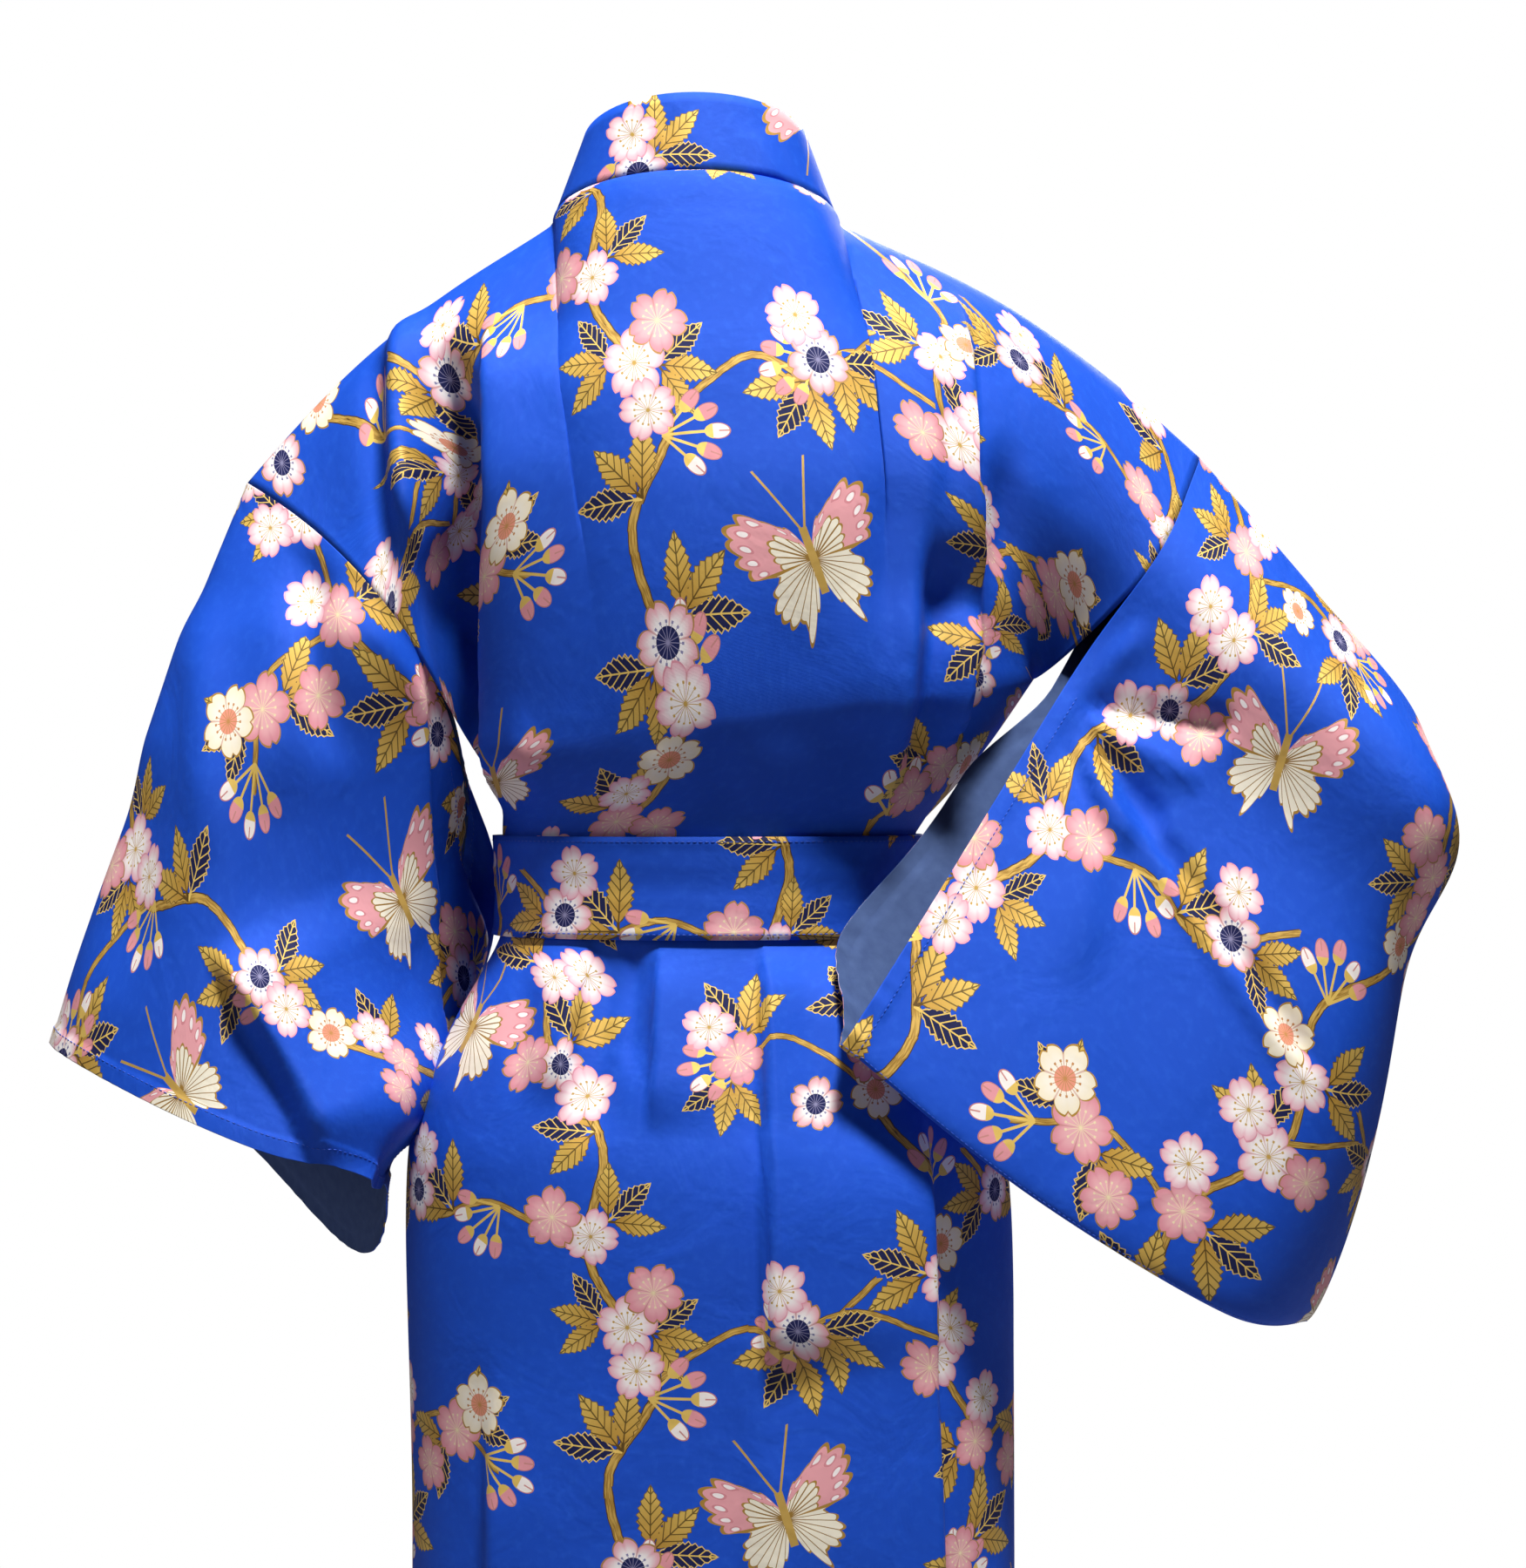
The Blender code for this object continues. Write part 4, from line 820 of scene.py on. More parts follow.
def cloth_piece(name, grid, places, offset, outward, node, closed=False, thick=CLOTH_THICK):
    """A thin shell of printed cloth: a grid of points with flat places for the print."""
    rows, columns = grid.shape[:2]
    last = columns if closed else columns - 1
    i, j = np.meshgrid(np.arange(rows - 1), np.arange(last), indexing="ij")
    k = (j + 1) % columns
    faces = np.stack([i * columns + j, i * columns + k, (i + 1) * columns + k,
                      (i + 1) * columns + j], -1).reshape(-1, 4)
    points = grid.reshape(-1, 3)
    normals = np.cross(points[faces[:, 2]] - points[faces[:, 0]],
                       points[faces[:, 3]] - points[faces[:, 1]])
    flipped = np.sum(normals * outward(points[faces].mean(axis=1))) < 0
    flat = places + np.array(offset)
    if closed:
        corners = np.stack([flat[i, j], flat[i, j + 1], flat[i + 1, j + 1], flat[i + 1, j]], 2)
    else:
        corners = np.stack([flat[i, j], flat[i, k], flat[i + 1, k], flat[i + 1, j]], 2)
    corners = corners.reshape(-1, 4, 2)
    if flipped:
        faces = faces[:, ::-1]
        corners = corners[:, ::-1]
    mesh = bpy.data.meshes.new(name)
    mesh.from_pydata(points, [], faces.tolist())
    mesh.shade_smooth()
    mesh.uv_layers.new(name="cloth").uv.foreach_set("vector", corners.reshape(-1))
    for layer in LAYERS:
        found = branch_places(corners) if layer == "branch" else motif_places(corners, CHART[layer])
        stored = mesh.attributes.new(layer, "FLOAT_VECTOR", "CORNER")
        stored.data.foreach_set("vector", found.reshape(-1))
    mesh.materials.append(PRINT)
    mesh.materials.append(REVERSE)
    piece = bpy.data.objects.new(name, mesh)
    bpy.context.collection.objects.link(piece)
    wall = piece.modifiers.new("thickness", "SOLIDIFY")
    wall.thickness = thick
    wall.offset = -1.0
    wall.material_offset = 1
    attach(piece, "root")
    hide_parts(node)
    return piece


def thread_material():
    """Spun polyester sewing thread in the blue of the cloth: a soft twist and a slight gloss."""
    material, tree, shader = new_material("sewing_thread")
    place = add(tree, "TexCoord", out=3)
    twist = add(tree, "TexWave", {"Vector": place, "Scale": 900.0, "Distortion": 1.0}, out=1)
    colour = paint(tree, hex_colour("#0c3fae"), hex_colour("#2c62d6"), twist)
    tree.links.new(colour, shader.inputs["Base Color"])
    shader.inputs["Roughness"].default_value = 0.5
    shader.inputs["IOR"].default_value = 1.55
    return material


def stitch_group():
    """Geometry Nodes for lockstitches: a short bead of thread at even steps along each line."""
    tree = bpy.data.node_groups.new("stitches", "GeometryNodeTree")
    for name, kind in (("Line", "Geometry"), ("Spacing", "Float"), ("Length", "Float"),
                       ("Thickness", "Float"), ("Thread", "Material")):
        tree.interface.new_socket(name, in_out="INPUT", socket_type="NodeSocket" + kind)
    tree.interface.new_socket("Stitches", in_out="OUTPUT", socket_type="NodeSocketGeometry")
    line, spacing, length, thickness, thread = tree.nodes.new("NodeGroupInput").outputs[:5]
    end = tree.nodes.new("NodeGroupOutput")
    curve = add(tree, "MeshToCurve", (line,))
    curve = add(tree, "ResampleCurve", {"Curve": curve, "Length": spacing}, mode="LENGTH")
    points = add(tree, "CurveToPoints", (curve,), mode="EVALUATED").node.outputs
    bead = add(tree, "MeshIcoSphere", {"Radius": 0.5, "Subdivisions": 1})
    size = add(tree, "CombineXYZ", (thickness, thickness, length))
    placed = add(tree, "InstanceOnPoints", {"Points": points["Points"], "Instance": bead,
                                            "Rotation": points["Rotation"], "Scale": size})
    solid = add(tree, "RealizeInstances", (placed,))
    tree.links.new(add(tree, "SetMaterial", {"Geometry": solid, "Material": thread}), end.inputs[0])
    return tree


STITCHES = stitch_group()
# Stitches are drawn at twice the thickness of real thread, so that they show
STITCH = {"Spacing": 0.0036, "Length": 0.0028, "Thickness": 0.0006, "Thread": thread_material()}
STITCH_RISE = 0.0001


def inset(grid, distance):
    """The line in a grid at a distance from its first row, measured over the cloth."""
    way = way_down(grid)
    return np.array([[np.interp(distance, way[:, column], grid[:, column, axis])
                      for axis in range(3)] for column in range(grid.shape[1])])


def stitched(name, lines):
    """Rows of stitches along lines of points."""
    points = np.concatenate(lines)
    starts = np.cumsum([0] + [len(line) for line in lines])
    edges = [(n, n + 1) for n in range(len(points) - 1) if n + 1 not in starts]
    mesh = bpy.data.meshes.new(name)
    mesh.from_pydata(points, edges, [])
    rows = bpy.data.objects.new(name, mesh)
    bpy.context.collection.objects.link(rows)
    nodes = rows.modifiers.new("stitches", "NODES")
    nodes.node_group = STITCHES
    for item in STITCHES.interface.items_tree:
        if item.name in STITCH:
            nodes[item.identifier] = STITCH[item.name]
    finished = rows.evaluated_get(bpy.context.evaluated_depsgraph_get())
    made = bpy.data.meshes.new_from_object(finished)
    rows.modifiers.clear()
    rows.data = made
    made.shade_smooth()
    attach(rows, "root")
    return rows


def lifted(grid, outward):
    """A grid raised just off its cloth, for stitches to lie on."""
    return grid + grid_normals(grid, outward(grid)) * STITCH_RISE


def behind(places):
    """The way out of the robe at its back."""
    return np.broadcast_to((0.0, 1.0, 0.0), places.shape)


def in_front(places):
    """The way out of the robe at its front."""
    return np.broadcast_to((0.0, -1.0, 0.0), places.shape)


def raised(grid, folds, outward, kept, swell=((0.0, 0.0), (0.1, 0.0))):
    """The grid with its folds and its swell by height, fading out at its top and sides."""
    rows, columns = grid.shape[:2]
    number = np.arange(columns)
    inside = np.minimum(number, columns - 1 - number)
    heights, amounts = np.array(sorted(swell)).T
    lift = fold_height(folds, grid[..., 0], grid[..., 2]) * ease(inside / kept)
    lift = lift + np.interp(grid[..., 2], heights, amounts) * ease(inside / (columns * SWELL_FADE))
    lift = lift * ease(np.arange(rows) / SHOULDER_ROWS)[:, None]
    return grid + grid_normals(grid, outward(grid)) * lift[..., None]


# How far the back stands out over the shoulder blades: height, amount
BLADE_SWELL = ((0.030, 0.000), (-0.020, 0.001), (-0.060, 0.006), (-0.100, 0.012), (-0.140, 0.0155),
               (-0.180, 0.0200), (-0.220, 0.0195), (-0.260, 0.0160), (-0.300, 0.0115),
               (-0.340, 0.0055), (-0.370, 0.001), (-0.385, 0.000), (-1.400, 0.000))
SWELL_FADE = 0.28
SHOULDER_ROWS = 9
BACK_COLUMNS = 151
BACK_KEPT = 10
BACK_OFFSET = (0.020, 0.300)
levels = levels_down(STEP)
level_grid, across_grid = np.meshgrid(levels, np.linspace(1.0, -1.0, BACK_COLUMNS), indexing="ij")
back_grid = raised(back_points(level_grid, across_grid), BACK_FOLDS, behind, BACK_KEPT,
                   BLADE_SWELL)
back_places = cloth_places(back_grid, BACK_COLUMNS // 2)
back = cloth_piece("back_cloth", back_grid, back_places * (-1.0, 1.0), BACK_OFFSET, behind,
                   "back")
HEM_DEPTH = 0.020
hem = stitched("back_hem_stitches", [inset(lifted(back_grid, behind)[::-1], HEM_DEPTH)])

# The fronts
# Two more panels of the same cotton, sewn to the back at the shoulders and sides. The left one
# laps over the right one, as it is worn, and the belt holds them.

LAP_LIFT = 0.0050
LAP_EASE = 0.35
LAP_START = 1.6
FRONT_COLUMNS = 62
FRONT_KEPT = 6
FRONT_FOLDS = {
    "left": (
        (0.112, -0.200, 0.098, -0.380, 0.012, 0.007, 0.0, 1, 0.080),
        (0.070, -0.260, 0.066, -0.385, 0.014, 0.004, 0.0, 1, 0.050),
        (0.080, -0.460, 0.092, -0.760, 0.014, 0.008, 0.0, 1, 0.100),
        (0.046, -0.458, 0.050, -0.600, 0.010, 0.004, 0.0, 1, 0.060),
        (0.020, -0.460, 0.030, -0.900, 0.014, 0.006, 0.0, 1, 0.120),
        (0.130, -0.600, 0.140, -1.320, 0.020, 0.008, 0.0, 1, 0.140),
        (-0.020, -0.700, -0.016, -1.320, 0.022, 0.005, 0.0, 1, 0.160),
    ),
    "right": (
        (-0.130, -0.200, -0.112, -0.380, 0.012, 0.007, 0.0, 1, 0.080),
        (-0.096, -0.280, -0.090, -0.385, 0.010, 0.004, 0.0, 1, 0.050),
        (-0.150, -0.480, -0.166, -1.100, 0.016, -0.006, 0.0, 1, 0.120),
        (-0.122, -0.460, -0.130, -0.620, 0.010, 0.004, 0.0, 1, 0.060),
    ),
}


def front_edge(row, sign):
    """Where the free edge of a front runs, as its share across each section."""
    centre, half = middle_and_half(row)
    x = row["lap_left"] if sign > 0 else row["lap_right"]
    return np.arcsin(np.clip((x - centre) / half, -1.0, 1.0)) * 2.0 / np.pi


def front_points(level, share, sign, past=0.0):
    """Points of a front: share from its side (0) to its free edge (1), sign 1 for the left one."""
    row = section_rows(np.maximum(level, 1.0))
    half = (row["left"] - row["right"]) / 2.0
    edge = front_edge(row, sign) - sign * past / (half * np.pi / 2.0)
    bottom = section_points(row, sign + (edge - sign) * share, -1)
    upper = np.minimum(level, 1.0)
    shoulder = shoulder_points(sign * (1.0 + (NECK_SHARE - 1.0) * share))
    points = over_shoulder(shoulder, bottom, upper)
    ends = np.full_like(level, sign)
    points = toward_armhole(points, "left" if sign > 0 else "right", 1.0 - share, upper, -1,
                            shoulder_points(ends), section_points(row, ends, -1))
    return np.where((level >= 1.0)[..., None], bottom, points)


def front_grid(side):
    """The grid of a front, from its side to its free edge."""
    sign = 1.0 if side == "left" else -1.0
    level, share = np.meshgrid(levels, np.linspace(0.0, 1.0, FRONT_COLUMNS), indexing="ij")
    grid = raised(front_points(level, share, sign), FRONT_FOLDS[side], in_front, FRONT_KEPT)
    if sign > 0:
        amount = LAP_LIFT * ease(share / LAP_EASE) * ease(level * LAP_START)
        grid = grid + grid_normals(grid, in_front(grid)) * amount[..., None]
    return grid


front_grids = {side: front_grid(side) for side in ("left", "right")}
for side, offset in (("left", (0.10, 0.42)), ("right", (0.33, 0.10))):
    grid = front_grids[side]
    places = cloth_places(grid, 0) * (1.0 if side == "left" else -1.0, 1.0)
    piece = cloth_piece("front_%s_cloth" % side, grid, places, offset, in_front, "front_" + side)
    hem = stitched("front_%s_hem_stitches" % side,
                   [inset(lifted(grid, in_front)[::-1], HEM_DEPTH)])

# The collar
# A doubled band of the print, cut as one strip, sewn up one front edge, round the back of the neck
# and down the other. It stands at the back with soft slanting creases.

BAND_WIDTH = 0.050
BAND_COLUMNS = 9
BAND_THICK = 0.0026
STAND_RISE = 0.048
STAND_LEAN = 0.020
NAPE_UPRIGHT = 0.45
NAPE_FROM = 0.01
BAND_TURN = 1.3
NECK_STEPS = 40
COLLAR_FOLDS = (
    (0.064, -0.012, 0.030, 0.040, 0.005, -0.0036, 0.0, 1, 0.014),
    (0.054, -0.006, 0.020, 0.042, 0.004, 0.0026, 0.0, 1, 0.014),
    (0.036, -0.002, 0.008, 0.046, 0.006, -0.0026, 0.0, 1, 0.014),
    (-0.050, -0.004, -0.034, 0.036, 0.007, 0.0022, 0.0, 1, 0.014),
)

shares = np.linspace(0.0, 1.0, BAND_COLUMNS)
collar_halves = {}
for sign, side in ((1.0, "left"), (-1.0, "right")):
    grid = front_grids[side]
    seam = grid[:, -1]
    away = unit(seam - grid[:, -2])
    level, share = np.meshgrid(levels, shares, indexing="ij")
    low = np.maximum(level, 1.0)
    flat = front_points(low, np.ones_like(low), sign, share * BAND_WIDTH)
    flat = flat - front_points(low, np.ones_like(low), sign)
    turned = ease(level * BAND_TURN)[..., None]
    plain = away[:, None] * (BAND_WIDTH * share)[..., None]
    flat = np.where((level < 1.0)[..., None], flat * turned + plain * (1.0 - turned), flat)
    stand = np.array([-sign * STAND_LEAN, 0.0, STAND_RISE])
    stand = stand / np.linalg.norm(stand) * BAND_WIDTH
    rising = stand * (share[..., None] * (1.0 - turned))
    collar_halves[side] = seam[:, None] + flat * turned + rising
across = np.linspace(NECK_SHARE, -NECK_SHARE, NECK_STEPS + 1)[1:-1]
seam = shoulder_points(across)
inward = unit(seam * (-1.0, -1.0, 0.0))
lean = STAND_LEAN * (1.0 - NAPE_UPRIGHT * np.cos(across / NECK_SHARE * np.pi / 2.0))
stand = unit(inward * lean[:, None] + (0.0, 0.0, STAND_RISE)) * BAND_WIDTH
neck = seam[:, None] + stand[:, None] * shares[None, :, None]
collar_grid = np.concatenate([collar_halves["left"][::-1], neck, collar_halves["right"]])


def from_neck(places):
    """The way out at the collar: away from the neck above the seam, to the front below it."""
    away = unit(places * (1.0, 1.0, 0.0))
    return np.where(places[..., 2:] > NECK_SIDE[2], away, in_front(places))


lift = fold_height(COLLAR_FOLDS, collar_grid[..., 0], collar_grid[..., 2])
lift = lift * (collar_grid[..., 1] > NAPE_FROM)
lean_out = unit(collar_grid * (1.0, 1.0, 0.0))
collar_grid = collar_grid + lean_out * lift[..., None]
lengthwise = cloth_places(collar_grid.transpose(1, 0, 2), len(collar_grid) // 2)
collar_places = lengthwise.transpose(1, 0, 2)
collar = cloth_piece("collar_cloth", collar_grid, collar_places, (0.10, 0.02), from_neck, "collar",
                     thick=BAND_THICK)

# The sleeves
# Each is one wide piece of the print folded over the arm and closed along the bottom as a flat bag.
# It is sewn to the body down the armhole only, and is open at its inner edge and at the cuff.

SLEEVE_FOLDS = {
    "left": (
        (0.290, -0.455, 0.212, -0.600, 0.006, 0.022, 0.060, -1, 0.040),
        (0.166, -0.235, 0.165, -0.600, 0.004, 0.014, 0.080, 1, 0.040),
        (0.240, -0.200, 0.215, -0.360, 0.014, -0.009, 0.0, 1, 0.050),
        (0.330, -0.330, 0.350, -0.500, 0.022, -0.007, 0.0, 1, 0.060),
        (0.300, -0.240, 0.290, -0.420, 0.016, 0.005, 0.0, 1, 0.060),
        (0.250, -0.330, 0.262, -0.480, 0.018, -0.006, 0.0, 1, 0.060),
    ),
    "right": (
        (-0.252, -0.352, -0.376, -0.535, 0.0050, -0.0060, 0.0, 1, 0.030),
        (-0.242, -0.359, -0.364, -0.541, 0.0050, 0.0045, 0.0, 1, 0.030),
        (-0.226, -0.312, -0.330, -0.328, 0.009, -0.008, 0.0, 1, 0.020),
        (-0.226, -0.316, -0.310, -0.362, 0.006, 0.006, 0.0, 1, 0.020),
        (-0.225, -0.318, -0.288, -0.388, 0.006, -0.007, 0.0, 1, 0.018),
        (-0.225, -0.320, -0.262, -0.404, 0.005, 0.006, 0.0, 1, 0.018),
        (-0.224, -0.322, -0.244, -0.410, 0.005, -0.005, 0.0, 1, 0.018),
        (-0.240, -0.330, -0.225, -0.500, 0.016, 0.006, 0.0, 1, 0.070),
        (-0.238, -0.300, -0.280, -0.260, 0.010, 0.005, 0.0, 1, 0.030),
    ),
}
RINGS = 110
LAYER_STEPS = 100
EDGE_SHARE = 0.034
EDGE_RINGS = 10
SLEEVE_HEM = 0.010
HEM_RISE = 0.0010
HEM_EDGE = 0.0025
HEM_PUCKER = 0.0007
PUCKER_STEP = 0.0021
PUCKER_DRIFT = 0.0083
CUFF_PUCKER = 0.5
SEAM_IN = 0.003
FOLD_START = 12.0
ARMPIT_FADE = 0.06
ARMPIT_CLEAR = 0.02
# The front layer of the left sleeve rests against the waist: how far in, at what height
INNER_FILL = 0.028
INNER_AT = -0.435
INNER_REACH = 0.098
INNER_START = 9.0
BACK_REST, BACK_REST_EASE = 0.78, 0.2
FRONT_REST, FRONT_REST_EASE = 0.30, 0.35
# It also hangs this much lower and nearer to the body at the cuff
FAR_DROP = np.array([0.016, 0.0, 0.016])
# The front layer of the right sleeve stands past the back one at its inner edge
REVERSE_SHOWN = 0.022
SHOWN_FROM = 0.42
SHOWN_EASE = 0.15
SHOWN_END = 0.18
SHOWN_ALONG = 0.45

for side, offset in (("left", (0.28, 0.20)), ("right", (0.05, 0.46))):
    downs = 0.5 - 0.5 * np.cos(np.linspace(0.0, np.pi, LAYER_STEPS + 1))
    loop_down = np.concatenate([downs, downs[-2:0:-1]])
    loop_layer = np.concatenate([np.ones(LAYER_STEPS + 1), -np.ones(LAYER_STEPS - 1)])
    edge_share = np.linspace(0.0, EDGE_SHARE, EDGE_RINGS)[:-1]
    ring_share = np.concatenate([edge_share, np.linspace(EDGE_SHARE, 1.0 - EDGE_SHARE, RINGS),
                                 1.0 - edge_share[::-1]])
    along, down = np.meshgrid(ring_share, loop_down, indexing="ij")
    layer = np.broadcast_to(loop_layer, along.shape)
    grid = ring_points(side, along, down, layer)
    if side == "left":
        low = np.where(layer > 0, ease((down - BACK_REST) / BACK_REST_EASE),
                       ease((down - FRONT_REST) / FRONT_REST_EASE))
        near = np.exp(-((grid[..., 2] - INNER_AT) / INNER_REACH) ** 2) * ease(along * INNER_START)
        grid[..., 0] -= INNER_FILL * low * near
        far = np.where(layer < 0, np.sin(np.pi * down ** DROP_LEAN), 0.0) * ease(along * 2.0 - 1.0)
        grid = grid - FAR_DROP * far[..., None]
    else:
        far = ease((down - SHOWN_FROM) / SHOWN_EASE) * ease((1.0 - down) / SHOWN_END)
        far = far * (1.0 - ease(along / SHOWN_ALONG))
        grid[..., 0] += np.where(layer < 0, REVERSE_SHOWN * far, 0.0)
    middle = grid.mean(axis=(0, 1))

    def off_arm(places, middle=middle):
        """The way out of the sleeve."""
        return places - middle

    wrapped = np.concatenate([grid[:, -2:], grid, grid[:, :2]], axis=1)
    normals = grid_normals(wrapped, off_arm(wrapped))[:, 2:-2]
    start = ease(along * FOLD_START)
    lift = fold_height(SLEEVE_FOLDS[side], grid[..., 0], grid[..., 2]) * start
    way = way_down(grid)
    free = ease((down - SLEEVES[side][1]) / ARMPIT_FADE)
    at_inner = (1.0 - ease((way - SLEEVE_HEM) / HEM_EDGE)) * free
    at_cuff = 1.0 - ease((way[-1] - way - SLEEVE_HEM) / HEM_EDGE)
    around = np.linalg.norm(np.diff(grid, axis=1, append=grid[:, :1]), axis=2).mean(axis=0)
    around = np.cumsum(around)[None, :]
    pucker = HEM_PUCKER * np.sin(around / PUCKER_STEP + 2.0 * np.sin(around / PUCKER_DRIFT))
    lift = lift + (HEM_RISE + pucker) * at_inner + (HEM_RISE + CUFF_PUCKER * pucker) * at_cuff
    grid = grid + normals * lift[..., None]
    ring = np.concatenate([grid, grid[:, :1]], axis=1)
    round_way = mean_way(ring, 1)
    arm_way = mean_way(grid, 0) * (-1.0 if side == "right" else 1.0)
    places = np.stack(np.broadcast_arrays(-arm_way[:, None], -round_way[None, :]), -1)
    piece = cloth_piece("sleeve_%s_cloth" % side, grid, places, offset, off_arm, "sleeve_" + side,
                        closed=True)
    raised_grid = grid + normals * STITCH_RISE
    inner = inset(raised_grid, SLEEVE_HEM)
    open_part = loop_down > SLEEVES[side][1] + ARMPIT_CLEAR
    cuff = inset(raised_grid[::-1], SLEEVE_HEM)
    bottom = inset(raised_grid[:, LAYER_STEPS::-1].transpose(1, 0, 2), SEAM_IN)
    seams = stitched("sleeve_%s_stitches" % side,
                     [inner[open_part], np.concatenate([cuff, cuff[:1]]), bottom])

# The belt
# A doubled strip of the print, topstitched along both edges, wound once round the waist and tied
# in front. Long soft creases run along it.

BELT_TOP = -0.392
BELT_BOTTOM = -0.453
BELT_CLEAR = 0.0010
LAP_CLEAR = 0.0005
FRONT_FROM = 0.03
FRONT_FADE = 0.06
CREASE_WANDER = 0.05
EDGE_IN = 0.003
BELT_THICK = 0.0026
BELT_COLUMNS = 150
BELT_ROWS = 12
BELT_CREASES = ((0.30, 0.05, 0.0008, 3.0, 0.4), (0.55, 0.06, -0.0007, 2.0, 1.9),
                (0.78, 0.05, 0.0006, 4.0, 3.1))


def waist_loop(z, clear):
    """A closed loop round the waist at a height, clear of the robe."""
    heights = [-row[0] for row in SECTIONS]
    row = section_rows(np.full(BELT_COLUMNS, 1.0 + np.interp(-z, heights, range(len(heights)))))
    turn = np.arange(BELT_COLUMNS) / BELT_COLUMNS * 4.0
    across = np.where(turn < 2.0, 1.0 - turn, turn - 3.0)
    points = np.where((turn < 2.0)[:, None], section_points(row, across, 1),
                      section_points(row, across, -1))
    centre, half = middle_and_half(row)
    away = np.stack([(points[:, 0] - centre) / half ** 2,
                     points[:, 1] / row["back"] ** 2, 0.0 * half], -1)
    points[:, 2] = z
    front_share = ease((FRONT_FROM - points[:, 1]) / FRONT_FADE)
    return points + unit(away) * (clear + (LAP_LIFT + LAP_CLEAR) * front_share)[:, None]


def from_waist(places):
    """The way out of the belt."""
    return places * (1.0, 1.0, 0.0)


belt_shares = np.linspace(0.0, 1.0, BELT_ROWS + 1)
belt_grid = np.stack([waist_loop(BELT_TOP + (BELT_BOTTOM - BELT_TOP) * share,
                                 BELT_CLEAR + BELT_THICK) for share in belt_shares])
turn = np.arange(BELT_COLUMNS) / BELT_COLUMNS * math.tau
for at, width, height, waves, phase in BELT_CREASES:
    wander = at + CREASE_WANDER * np.sin(waves * turn + phase)
    crease = height * np.exp(-((belt_shares[:, None] - wander) / width) ** 2)
    belt_grid = belt_grid + unit(from_waist(belt_grid)) * crease[..., None]
ring = np.concatenate([belt_grid, belt_grid[:, :1]], axis=1)
belt_down = (BELT_BOTTOM - BELT_TOP) * belt_shares
belt_places = np.stack(np.broadcast_arrays(-mean_way(ring, 1)[None, :], belt_down[:, None]), -1)
belt = cloth_piece("belt_cloth", belt_grid, belt_places, (0.30, 0.28), from_waist, "belt",
                   closed=True, thick=BELT_THICK)
raised_grid = ring + unit(from_waist(ring)) * STITCH_RISE
edging = stitched("belt_stitches",
                  [inset(raised_grid, EDGE_IN), inset(raised_grid[::-1], EDGE_IN)])

# The knot and the ends of the belt
# The belt's two ends cross in a flat knot in front, and hang from it over the fronts.

KNOT_THICK = 0.002
KNOT_TURNS = 73
KNOT_RISES = 25
KNOT_CREASE = 0.07
KNOT_CREASE_WIDTH = 0.16
KNOT_SQUARE = 0.55
knot_low, knot_high = [Vector(corner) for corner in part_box("belt_knot")]
knot_middle = np.array((knot_low + knot_high) / 2.0)
knot_half = np.array((knot_high - knot_low) / 2.0)
turns, rises = np.meshgrid(np.linspace(0.0, math.tau, KNOT_TURNS)[:-1],
                           np.linspace(-1.0, 1.0, KNOT_RISES),
                           indexing="xy")


def soft_box(value, power):
    """A rounded square wave."""
    return np.sign(value) * np.abs(value) ** power


flank = np.cos(rises * math.pi / 2.0) ** 0.35
crossing = 1.0 - KNOT_CREASE * np.exp(-((np.sin(turns) * 0.7 + rises) / KNOT_CREASE_WIDTH) ** 2)
knot_grid = np.stack([soft_box(np.cos(turns), KNOT_SQUARE) * flank * crossing,
                      soft_box(np.sin(turns), KNOT_SQUARE) * flank * crossing,
                      -soft_box(np.sin(rises * math.pi / 2.0), 0.75)], -1) * knot_half + knot_middle
knot_places = np.stack(np.broadcast_arrays(np.linspace(0.0, 0.15, KNOT_TURNS)[None, :],
                                           np.linspace(0.0, 0.05, KNOT_RISES)[:, None]), -1)


def from_knot(places):
    """The way out of the knot."""
    return places - knot_middle


knot = cloth_piece("belt_knot_cloth", knot_grid, knot_places, (0.10, 0.30), from_knot, "belt_knot",
                   closed=True, thick=KNOT_THICK)

TAIL_LENGTHS = {"left": 0.42, "right": 0.36}
TAIL_WIDTH = 0.050
TAIL_ROWS = 60
TAIL_COLUMNS = 9
TAIL_GAP = 0.0003
TAIL_CROWN = 0.006
TAIL_WAVE = 0.003
for side, offset in (("left", (0.36, 0.25)), ("right", (0.11, 0.50))):
    sign = 1.0 if side == "left" else -1.0
    top = knot_low.z - TAIL_GAP
    share, across = np.meshgrid(np.linspace(0.0, 1.0, TAIL_ROWS),
                                np.linspace(-0.5, 0.5, TAIL_COLUMNS), indexing="ij")
    middle = sign * (0.020 + 0.030 * ease(share))
    swing = knot_middle[1] - 0.004 - 0.012 * ease(share * 1.5)
    width = TAIL_WIDTH * (0.55 + 0.45 * ease(share * 3.0))
    grid = np.stack([middle + width * across, swing + TAIL_CROWN * np.cos(across * math.pi)
                     + TAIL_WAVE * np.sin(share * 9.0 + across * 3.0 * sign) * ease(share * 4.0),
                     top - TAIL_LENGTHS[side] * share], -1)
    places = np.stack([across * TAIL_WIDTH, -share * TAIL_LENGTHS[side]], -1)
    piece = cloth_piece("belt_tail_%s_cloth" % side, grid, places, offset, in_front,
                        "belt_tail_" + side, thick=BELT_THICK)
    sides = lifted(grid, in_front).transpose(1, 0, 2)
    edging = stitched("belt_tail_%s_stitches" % side,
                      [inset(sides, EDGE_IN), inset(sides[::-1], EDGE_IN)])

# The floor
# A grey studio floor, just below the hem. It isn't part of the garment.

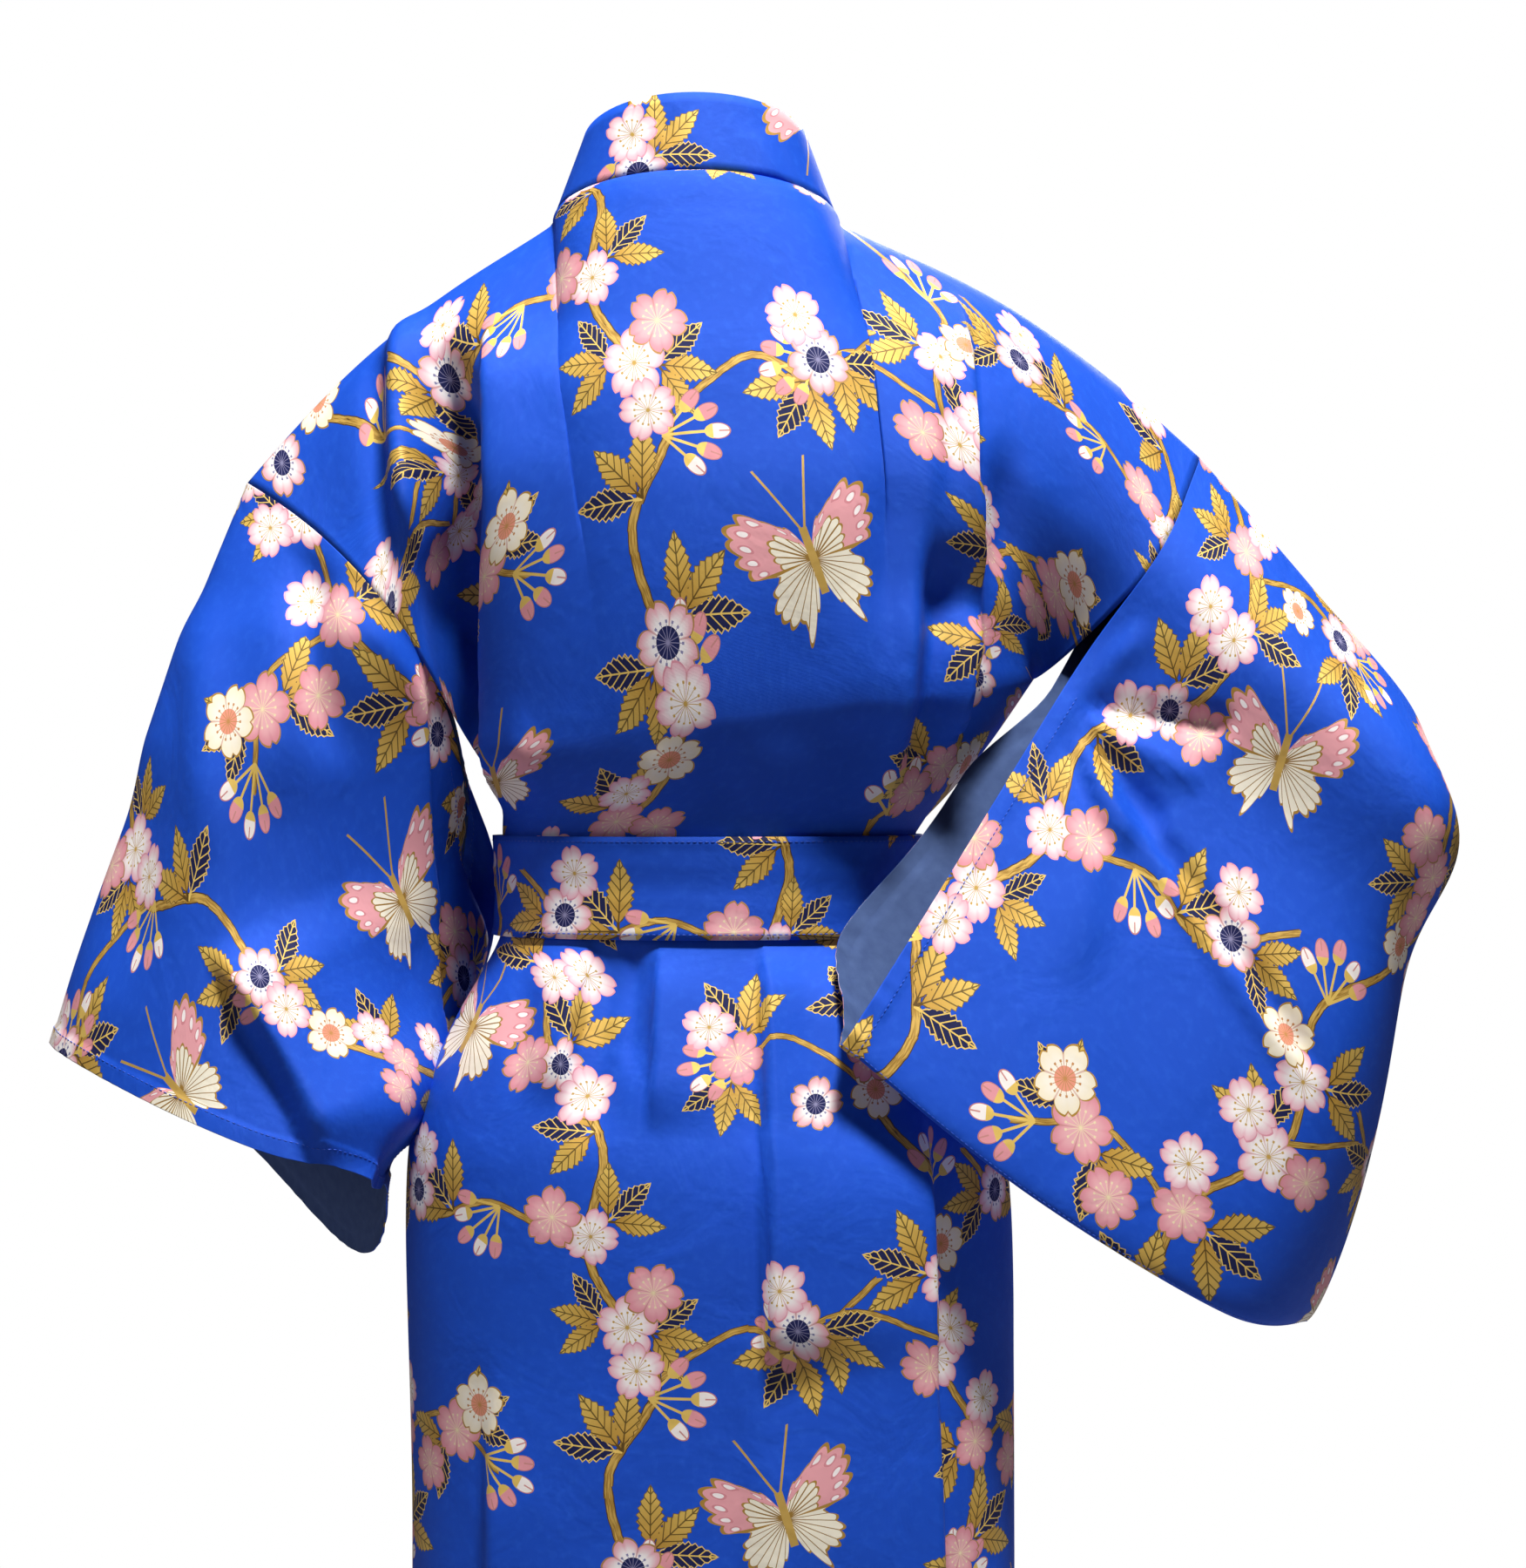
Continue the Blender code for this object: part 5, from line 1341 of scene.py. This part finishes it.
FLOOR_SIZE = 4.2
FLOOR_HEIGHT = -1.325
bpy.ops.mesh.primitive_plane_add(size=FLOOR_SIZE, location=(0.0, 0.0, FLOOR_HEIGHT))
floor = bpy.context.object
floor.name = "floor"
material, tree, shader = new_material("floor_paint")
shader.inputs["Base Color"].default_value = hex_colour("#8f8f96")
shader.inputs["Roughness"].default_value = 0.6
floor.data.materials.append(material)

# Light and camera
# A bright white studio: a large soft light high up on the right, and white all round.

world = bpy.data.worlds.new("studio")
world.use_nodes = True
tree = world.node_tree
seen = add(tree, "LightPath")
soft = tree.nodes["Background"]
soft.inputs["Color"].default_value = hex_colour("#e6dcf6")
soft.inputs["Strength"].default_value = 0.06
white = add(tree, "Background", {"Color": hex_colour("#ffffff"), "Strength": 1.0})
both = add(tree, "MixShader", (seen, soft.outputs[0], white))
tree.links.new(both, tree.nodes["World Output"].inputs["Surface"])
bpy.context.scene.world = world
LAMPS = (("window", (-0.42, 1.30, 2.9), 0.6, 262.0), ("left", (2.4, 0.9, 0.6), 0.8, 7.0),
         ("front", (-0.8, -2.4, 1.2), 1.0, 60.0))
LAMP_TARGET = Vector((0.0, 0.0, -0.5))
for name, place, size, power in LAMPS:
    light = bpy.data.lights.new(name, "AREA")
    light.size = size
    light.energy = power
    lamp = bpy.data.objects.new(name, light)
    lamp.location = place
    lamp.rotation_euler = (LAMP_TARGET - lamp.location).to_track_quat("-Z", "Y").to_euler()
    bpy.context.collection.objects.link(lamp)
bpy.context.scene.view_settings.view_transform = "Standard"

# The lens frames the photograph's height, at its pixels a metre in the plane of the back
PHOTO_HEIGHT = 1800.0
PIXELS_A_METRE = 1950.0
SENSOR = 24.0
BACK_DISTANCE = 2.1
camera_data = bpy.data.cameras.new("camera")
camera_data.sensor_fit = "VERTICAL"
camera_data.sensor_height = SENSOR
camera_data.lens = SENSOR * BACK_DISTANCE / (PHOTO_HEIGHT / PIXELS_A_METRE)
camera = bpy.data.objects.new("camera", camera_data)
camera.location = (-0.0415, 2.2, -0.3605)
camera.rotation_euler = (math.pi / 2.0, 0.0, math.pi)
bpy.context.collection.objects.link(camera)
bpy.context.scene.camera = camera
